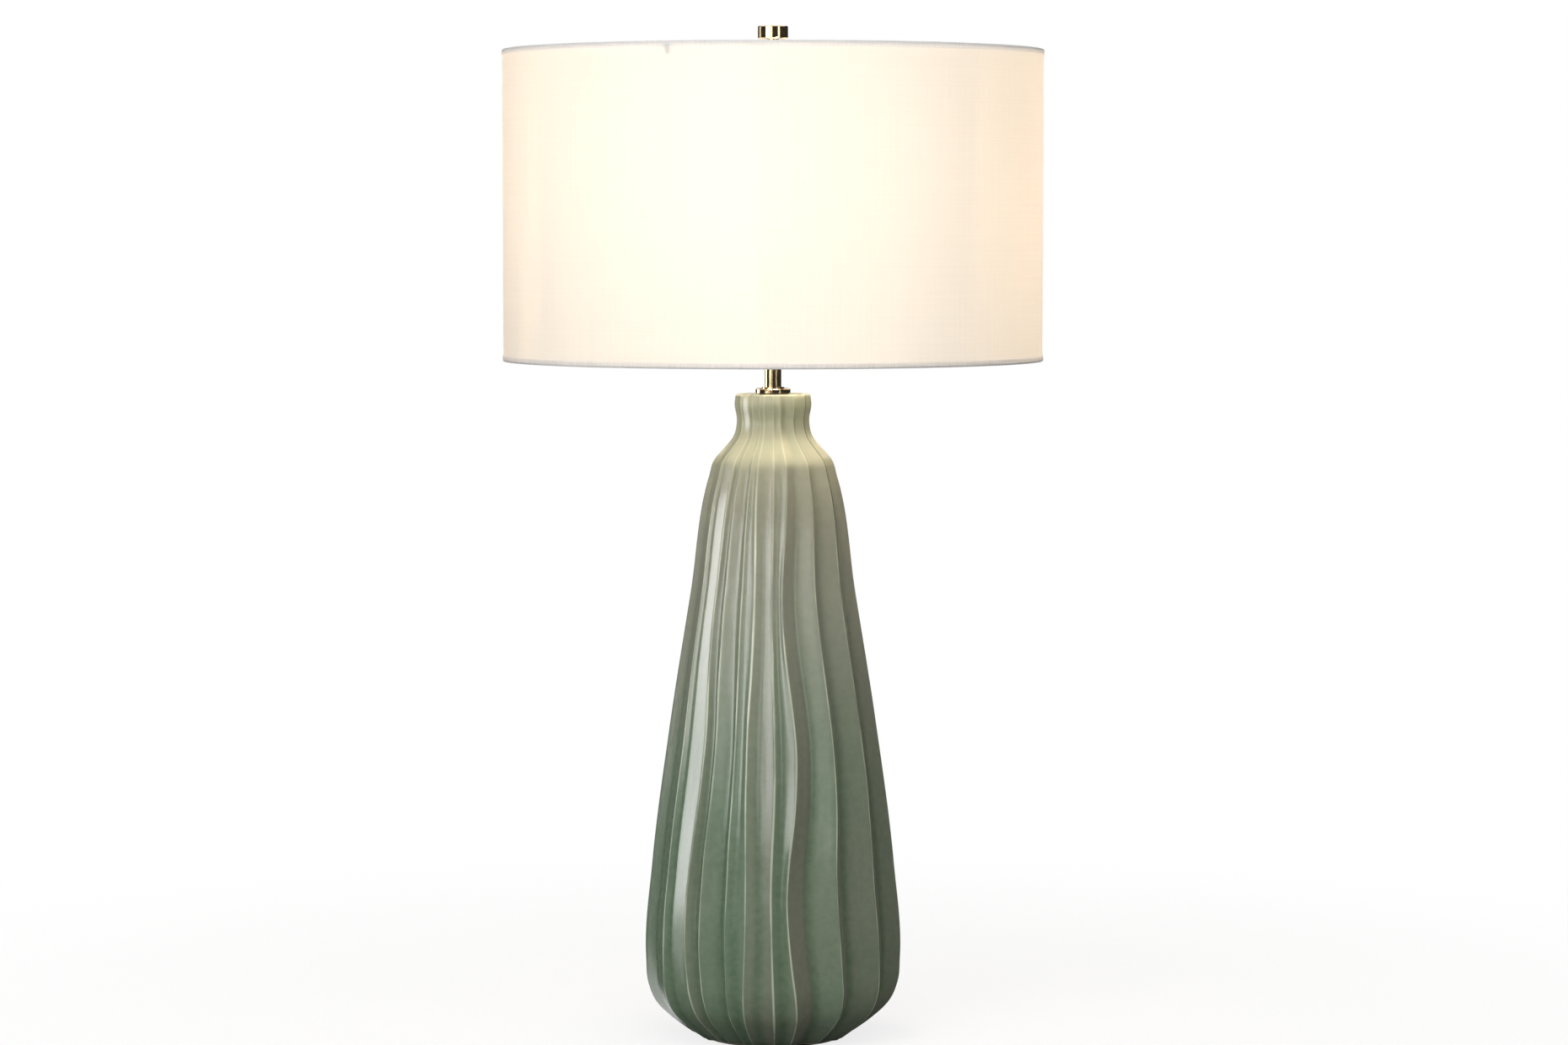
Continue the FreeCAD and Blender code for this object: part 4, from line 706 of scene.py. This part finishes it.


# %% [markdown]
# ## Felt under the foot
# A ring of felt keeps the clay off the table. A simulated cloth would lie the same way, so it is
# a turned ring whose edges are rounded with a bevel. Its finish is matt with short fibres, made
# from fine stretched noise.

# %% Felt ring
PAD_HOLE, PAD_RADIUS = 46.0, 57.0
felt, tree, shader = start_material("black_felt", Roughness=0.95)
shader.inputs["Sheen Weight"].default_value = 0.4
fibre = place_noise(tree, 0.0006, (1, 1, 3), detail=6, roughness=0.7)
tree.links.new(blend_colour(tree, ramp(tree, fibre, 0.35, 0.65), (0.012, 0.012, 0.012, 1),
                            (0.045, 0.043, 0.04, 1)), shader.inputs["Base Color"])
add_bump(tree, shader, fibre, 0.0005, 0.7)
felt_mesh = turned([(PAD_HOLE * MM, 0), (PAD_RADIUS * MM, 0),
                    (PAD_RADIUS * MM, FOOT_LEVEL * MM), (PAD_HOLE * MM, FOOT_LEVEL * MM)], 96)
rims = [edge for edge in felt_mesh.edges if abs(edge.verts[0].co.z - edge.verts[1].co.z) < 1e-6
        and abs(edge.verts[0].co.xy.length - edge.verts[1].co.xy.length) < 1e-6]
bmesh.ops.bevel(felt_mesh, geom=rims, offset=0.0004, segments=2, profile=0.5, affect="EDGES",
                material=-1)
felt_ring = finish_piece(felt_mesh, "felt_ring", "base", ["foot_pad"], [felt])


# %% [markdown]
# ## Linen for the shade
# The drum is white linen glued to a stiff sheet. Light from the bulb comes through it, so the
# finish mixes a plain matt shader with a translucent one. The weave follows a UV map in metres:
# threads both ways, with the thick and thin places that linen has.

# %% Woven cloth
def woven(tree, thread=0.00055):
    """Height of a plain weave and its slubs, from the piece's own UV map in metres."""
    where = add(tree, "ShaderNodeUVMap", {"uv_map": "cloth"})
    parts = tree.nodes.new("ShaderNodeSeparateXYZ")
    tree.links.new(where, parts.inputs[0])
    across, along = parts.outputs[0], parts.outputs[1]
    pitch = FULL_TURN / thread
    warp = maths(tree, "SINE", maths(tree, "MULTIPLY", across, pitch))
    weft = maths(tree, "SINE", maths(tree, "MULTIPLY", along, pitch))
    weave = maths(tree, "MULTIPLY", warp, weft)
    slubs = []
    for scale in ((6, 700, 1), (700, 6, 1)):
        stretched = add(tree, "ShaderNodeMapping", Vector=where, Scale=scale)
        slubs.append(add(tree, "ShaderNodeTexNoise", Vector=stretched, Scale=1.0, Detail=3.0))
    return weave, maths(tree, "MULTIPLY", maths(tree, "ADD", *slubs), 0.5)


THICK_PLACES = 0.985

def cloth_material(name, thin, thick, through, share):
    """Woven cloth: colours of its thin and thick places, colour and share of light let through."""
    material, tree, shader = start_material(name, Roughness=0.9)
    shader.inputs["Specular IOR Level"].default_value = 0.25
    weave, slub = woven(tree)
    tree.links.new(blend_colour(tree, ramp(tree, slub, 0.4, 0.6), thin, thick),
                   shader.inputs["Base Color"])
    add_bump(tree, shader, maths(tree, "ADD", maths(tree, "MULTIPLY", weave, 0.3), slub),
             0.00012, 0.6)
    duller = tuple(THICK_PLACES * x for x in through[:3]) + (1,)
    clear = add(tree, "ShaderNodeBsdfTranslucent", Color=blend_colour(
        tree, ramp(tree, slub, 0.4, 0.6), through, duller))
    mixed = add(tree, "ShaderNodeMixShader", in_0=share, in_1=shader.outputs[0], in_2=clear)
    tree.links.new(mixed, tree.nodes["Material Output"].inputs["Surface"])
    return material


print("cloth helpers ready")

# %% Linen, hem tape, seam and backing
linen = cloth_material("white_linen", (0.85, 0.84, 0.81, 1), (0.83, 0.82, 0.79, 1),
                       (0.98, 0.93, 0.88, 1), 0.2)
hem_linen = cloth_material("hem_linen", (0.84, 0.83, 0.82, 1), (0.76, 0.75, 0.74, 1),
                           (0.95, 0.93, 0.92, 1), 0.15)
seam_linen = cloth_material("seam_linen", (0.85, 0.84, 0.81, 1), (0.83, 0.82, 0.79, 1),
                            (0.98, 0.93, 0.88, 1), 0.14)
backing, tree, shader = start_material("stiff_backing", Roughness=0.45)
tree.links.new(blend_colour(tree, place_noise(tree, 0.03), (0.90, 0.89, 0.86, 1),
                            (0.86, 0.85, 0.82, 1)), shader.inputs["Base Color"])
add_bump(tree, shader, place_noise(tree, 0.0015), 0.0001, 0.3)
clear = add(tree, "ShaderNodeBsdfTranslucent", Color=(0.95, 0.93, 0.9, 1))
mixed = add(tree, "ShaderNodeMixShader", in_0=0.45, in_1=shader.outputs[0], in_2=clear)
tree.links.new(mixed, tree.nodes["Material Output"].inputs["Surface"])
print("cloth finishes ready")


# %% [markdown]
# ## The shade
# A drum shade is linen glued to a stiff sheet and rolled. A cloth simulation isn't needed for
# cloth that is stretched on a sheet, so each layer is one turned outline. A turned drum has its UV
# map made from the angle and the height, so that the weave runs true. The cloth casts no shadow,
# as the net round it says.

# %% Sizes of the shade
SHADE_STEPS = 192
SHADE_RADIUS = 228.6
low_shade, high_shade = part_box("shade_fabric")
SHADE_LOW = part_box("bottom_hem")[0].z / MM
SHADE_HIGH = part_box("top_hem")[1].z / MM
FABRIC_RADIUS, FABRIC_THICK = 228.0, 0.6
LINER_RADIUS, LINER_THICK = 227.3, 0.8
HEM_THICK, HEM_WIDTH, HEM_INNER = 0.5, 5.0, 222.6
print("shade from", round(SHADE_LOW, 1), "to", round(SHADE_HIGH, 1), "mm")

# %% Drum layers
def map_cloth(mesh, radius):
    """UV map in metres: the way round and the height."""
    chart = mesh.loops.layers.uv.new("cloth")
    for face in mesh.faces:
        middle = face.calc_center_median()
        facing = math.atan2(middle.x, middle.y)
        for loop in face.loops:
            spot = loop.vert.co
            turn = math.atan2(spot.x, spot.y)
            turn -= FULL_TURN * round((turn - facing) / FULL_TURN)
            loop[chart].uv = (turn * radius, spot.z + spot.xy.length - radius)


def drum(radius, thick, low, high, rows):
    """Thin upright tube in several rows of faces. The hems cover its plain edges."""
    step = (high - low) / rows
    outer = [(radius, low + step * row) for row in range(rows + 1)]
    inner = [(radius - thick, low + step * row) for row in range(rows, -1, -1)]
    return turned([(r * MM, z * MM) for r, z in outer + inner], SHADE_STEPS)


fabric_mesh = drum(FABRIC_RADIUS, FABRIC_THICK, low_shade.z / MM, high_shade.z / MM, 8)
map_cloth(fabric_mesh, FABRIC_RADIUS * MM)
shade_linen = finish_piece(fabric_mesh, "shade_linen", "shade", ["shade_fabric"],
                           [linen])
liner_mesh = drum(LINER_RADIUS, LINER_THICK, low_shade.z / MM, high_shade.z / MM, 8)
shade_backing = finish_piece(liner_mesh, "shade_backing", "shade", ["shade_liner"],
                             [backing])
shade_linen.visible_shadow = shade_backing.visible_shadow = False


# %% [markdown]
# ## Hems
# The raw edges of the linen are folded over the two wire rings. Each hem is tape with rounded
# folds, drawn as one outline and turned. A folded and thickened sheet would give the same, but
# the outline keeps its thickness exact where it bends.

# %% Hems
def hem(low, inner_edge):
    """Tape folded over the wire: outside and over the edge, and at the bottom up inside too."""
    up = 1 if inner_edge == "low" else -1
    edge = low if up == 1 else low + HEM_WIDTH
    outer, inner = SHADE_RADIUS, HEM_INNER
    turn_in = 0.9
    outline = [(outer, edge + up * HEM_WIDTH), (outer, edge + up * turn_in),
               (outer - 0.3, edge + up * 0.3), (outer - turn_in, edge),
               (inner + turn_in, edge), (inner + 0.3, edge + up * 0.3),
               (inner, edge + up * turn_in), (inner, edge + up * HEM_WIDTH),
               (inner + HEM_THICK, edge + up * HEM_WIDTH),
               (inner + HEM_THICK, edge + up * (turn_in + 0.2)),
               (inner + turn_in + 0.2, edge + up * HEM_THICK),
               (outer - turn_in - 0.2, edge + up * HEM_THICK),
               (outer - HEM_THICK, edge + up * (turn_in + 0.2)),
               (outer - HEM_THICK, edge + up * HEM_WIDTH)]
    if inner_edge == "high":
        outline = outline[:5] + [(inner, edge + up * HEM_THICK)] + outline[10:]
    return turned([(r * MM, z * MM) for r, z in outline], SHADE_STEPS)


hems = []
for name, node, level, edge in (("hem_bottom", "bottom_hem", SHADE_LOW, "low"),
                                ("hem_top", "top_hem", SHADE_HIGH - HEM_WIDTH, "high")):
    hem_mesh = hem(level, edge)
    map_cloth(hem_mesh, SHADE_RADIUS * MM)
    hems.append(finish_piece(hem_mesh, name, "shade", [node], [hem_linen]))
    hems[-1].visible_shadow = False


# %% [markdown]
# ## The seam
# The linen's two ends overlap in one upright seam, which faces away from the viewer. It is a
# narrow strip spun over a small angle, so that it lies true on the drum. Two layers let less
# light through than one, so its cloth is a little duller.

# %% Upright seam at the back
SEAM_WIDTH, SEAM_THICK = 12.0, 0.45
seam_mesh = bmesh.new()
half = SEAM_WIDTH / 2 / FABRIC_RADIUS
seam_low, seam_high = SHADE_LOW + HEM_WIDTH + 0.2, SHADE_HIGH - HEM_WIDTH - 0.2
start = [seam_mesh.verts.new((r * MM, 0, z * MM)) for r, z in (
    (FABRIC_RADIUS + 0.03, seam_low), (FABRIC_RADIUS + 0.03 + SEAM_THICK, seam_low),
    (FABRIC_RADIUS + 0.03 + SEAM_THICK, seam_high), (FABRIC_RADIUS + 0.03, seam_high))]
seam_face = seam_mesh.faces.new(start)
bmesh.ops.rotate(seam_mesh, cent=(0, 0, 0), matrix=Matrix.Rotation(math.pi / 2 - half, 3, "Z"),
                 verts=start)
bmesh.ops.spin(seam_mesh, geom=[seam_face] + seam_face.edges[:] + start, cent=(0, 0, 0),
               axis=(0, 0, 1), angle=2 * half, steps=6)
bmesh.ops.recalc_face_normals(seam_mesh, faces=seam_mesh.faces[:])
map_cloth(seam_mesh, FABRIC_RADIUS * MM)
seam = finish_piece(seam_mesh, "shade_seam", "shade", [], [seam_linen])
seam.visible_shadow = False


# %% [markdown]
# ## Finishes of the pieces that stay
# The brass, steel, rubber and plastic pieces keep their own shape from the model and only get
# a finish. Each could have a tree of its own, but two recipes cover them. Metals have a tint, a
# roughness that drifts a little, and fine rubbing marks. Moulded and painted pieces have a fine
# grain instead of rubbing marks.

# %% Metal, moulded and painted finishes
def metal(name, tint, shade, rough, rub=(1, 1, 1), marks=0.05):
    """Metal: two close tints, a mean roughness and the direction of its rubbing marks."""
    material, tree, shader = start_material(name, Metallic=1.0)
    drift = place_noise(tree, 0.02, detail=4)
    tree.links.new(blend_colour(tree, drift, tint, shade), shader.inputs["Base Color"])
    scratch = place_noise(tree, 0.0007, rub, detail=5, roughness=0.65)
    tree.links.new(add(tree, "ShaderNodeMapRange", in_0=scratch, in_3=max(rough - marks, 0.02),
                       in_4=rough + marks), shader.inputs["Roughness"])
    add_bump(tree, shader, scratch, 0.00003, 0.4)
    return material


def moulded(name, tint, shade, rough, grain=0.0008, depth=0.00004, specular=0.5):
    material, tree, shader = start_material(name, Roughness=rough)
    shader.inputs["Specular IOR Level"].default_value = specular
    speckle = place_noise(tree, grain, detail=4)
    tree.links.new(blend_colour(tree, ramp(tree, speckle, 0.3, 0.7), tint, shade),
                   shader.inputs["Base Color"])
    add_bump(tree, shader, speckle, depth, 0.5)
    return material


FINISHES = {
    "polished_brass": metal("polished_brass", (0.80, 0.62, 0.36, 1), (0.74, 0.55, 0.30, 1), 0.10,
                            (6, 6, 0.6), 0.03),
    "socket_brass": metal("socket_brass", (0.76, 0.60, 0.34, 1), (0.68, 0.52, 0.28, 1), 0.28,
                          (1, 1, 12)),
    "harp": metal("harp_brass", (0.78, 0.62, 0.38, 1), (0.70, 0.54, 0.32, 1), 0.32, (4, 4, 4)),
    "contact_brass": metal("contact_brass", (0.76, 0.60, 0.32, 1), (0.66, 0.50, 0.26, 1), 0.35),
    "zinc_steel": metal("zinc_steel", (0.62, 0.63, 0.62, 1), (0.52, 0.53, 0.54, 1), 0.38),
    "screw_shell": metal("screw_shell_alloy", (0.78, 0.78, 0.77, 1), (0.70, 0.70, 0.69, 1), 0.30,
                         (1, 1, 10)),
    "bulb_cap": metal("nickel_cap", (0.74, 0.73, 0.70, 1), (0.66, 0.65, 0.62, 1), 0.25,
                      (1, 1, 10)),
    "cord_grommet": moulded("black_rubber", (0.020, 0.020, 0.020, 1), (0.030, 0.030, 0.030, 1),
                            0.65),
    "neck_gasket": moulded("dark_gasket", (0.050, 0.045, 0.040, 1), (0.035, 0.032, 0.030, 1),
                           0.7),
    "socket_insulator": moulded("fibre_sleeve", (0.42, 0.32, 0.20, 1), (0.34, 0.25, 0.15, 1),
                                0.8, 0.0015, 0.0001),
    "socket_body": moulded("socket_moulding", (0.025, 0.022, 0.022, 1), (0.035, 0.03, 0.03, 1),
                           0.45),
    "switch_knob": moulded("knob_moulding", (0.018, 0.015, 0.014, 1), (0.025, 0.02, 0.02, 1),
                           0.28),
    "bulb_insulator": moulded("bulb_insulator_glass", (0.012, 0.012, 0.016, 1),
                              (0.02, 0.02, 0.024, 1), 0.15),
    "painted_wire": moulded("white_enamel", (0.82, 0.82, 0.80, 1), (0.76, 0.76, 0.74, 1), 0.35,
                            0.002, 0.00006),
    "vase": glaze, "foot_pad": felt, "shade_fabric": linen, "shade_liner": backing,
    "hem_tape": hem_linen,
}
print("finishes:", len(FINISHES))

# %% Opal glass that glows
BULB_GLOW_COLOUR, BULB_GLOW = (1.0, 0.86, 0.66, 1), 2.0
opal, tree, shader = start_material("opal_glass", Roughness=0.25)
cloudy = place_noise(tree, 0.02, detail=2)
tree.links.new(blend_colour(tree, cloudy, (0.95, 0.93, 0.88, 1), (0.92, 0.90, 0.86, 1)),
               shader.inputs["Base Color"])
shader.inputs["Emission Color"].default_value = BULB_GLOW_COLOUR
shader.inputs["Emission Strength"].default_value = BULB_GLOW
FINISHES["bulb_glass"] = opal
print("bulb glass glows at", BULB_GLOW)

# %% Give every node its finish
for row in frame["record"]["subparts"]:
    node = frame["nodes"][row["node"]]
    node.data.materials.clear()
    node.data.materials.append(FINISHES[row["material_slot"]])


# %% [markdown]
# ## Last update
# The view layer is updated once more at the end.

# %% Update the scene
bpy.context.view_layer.update()
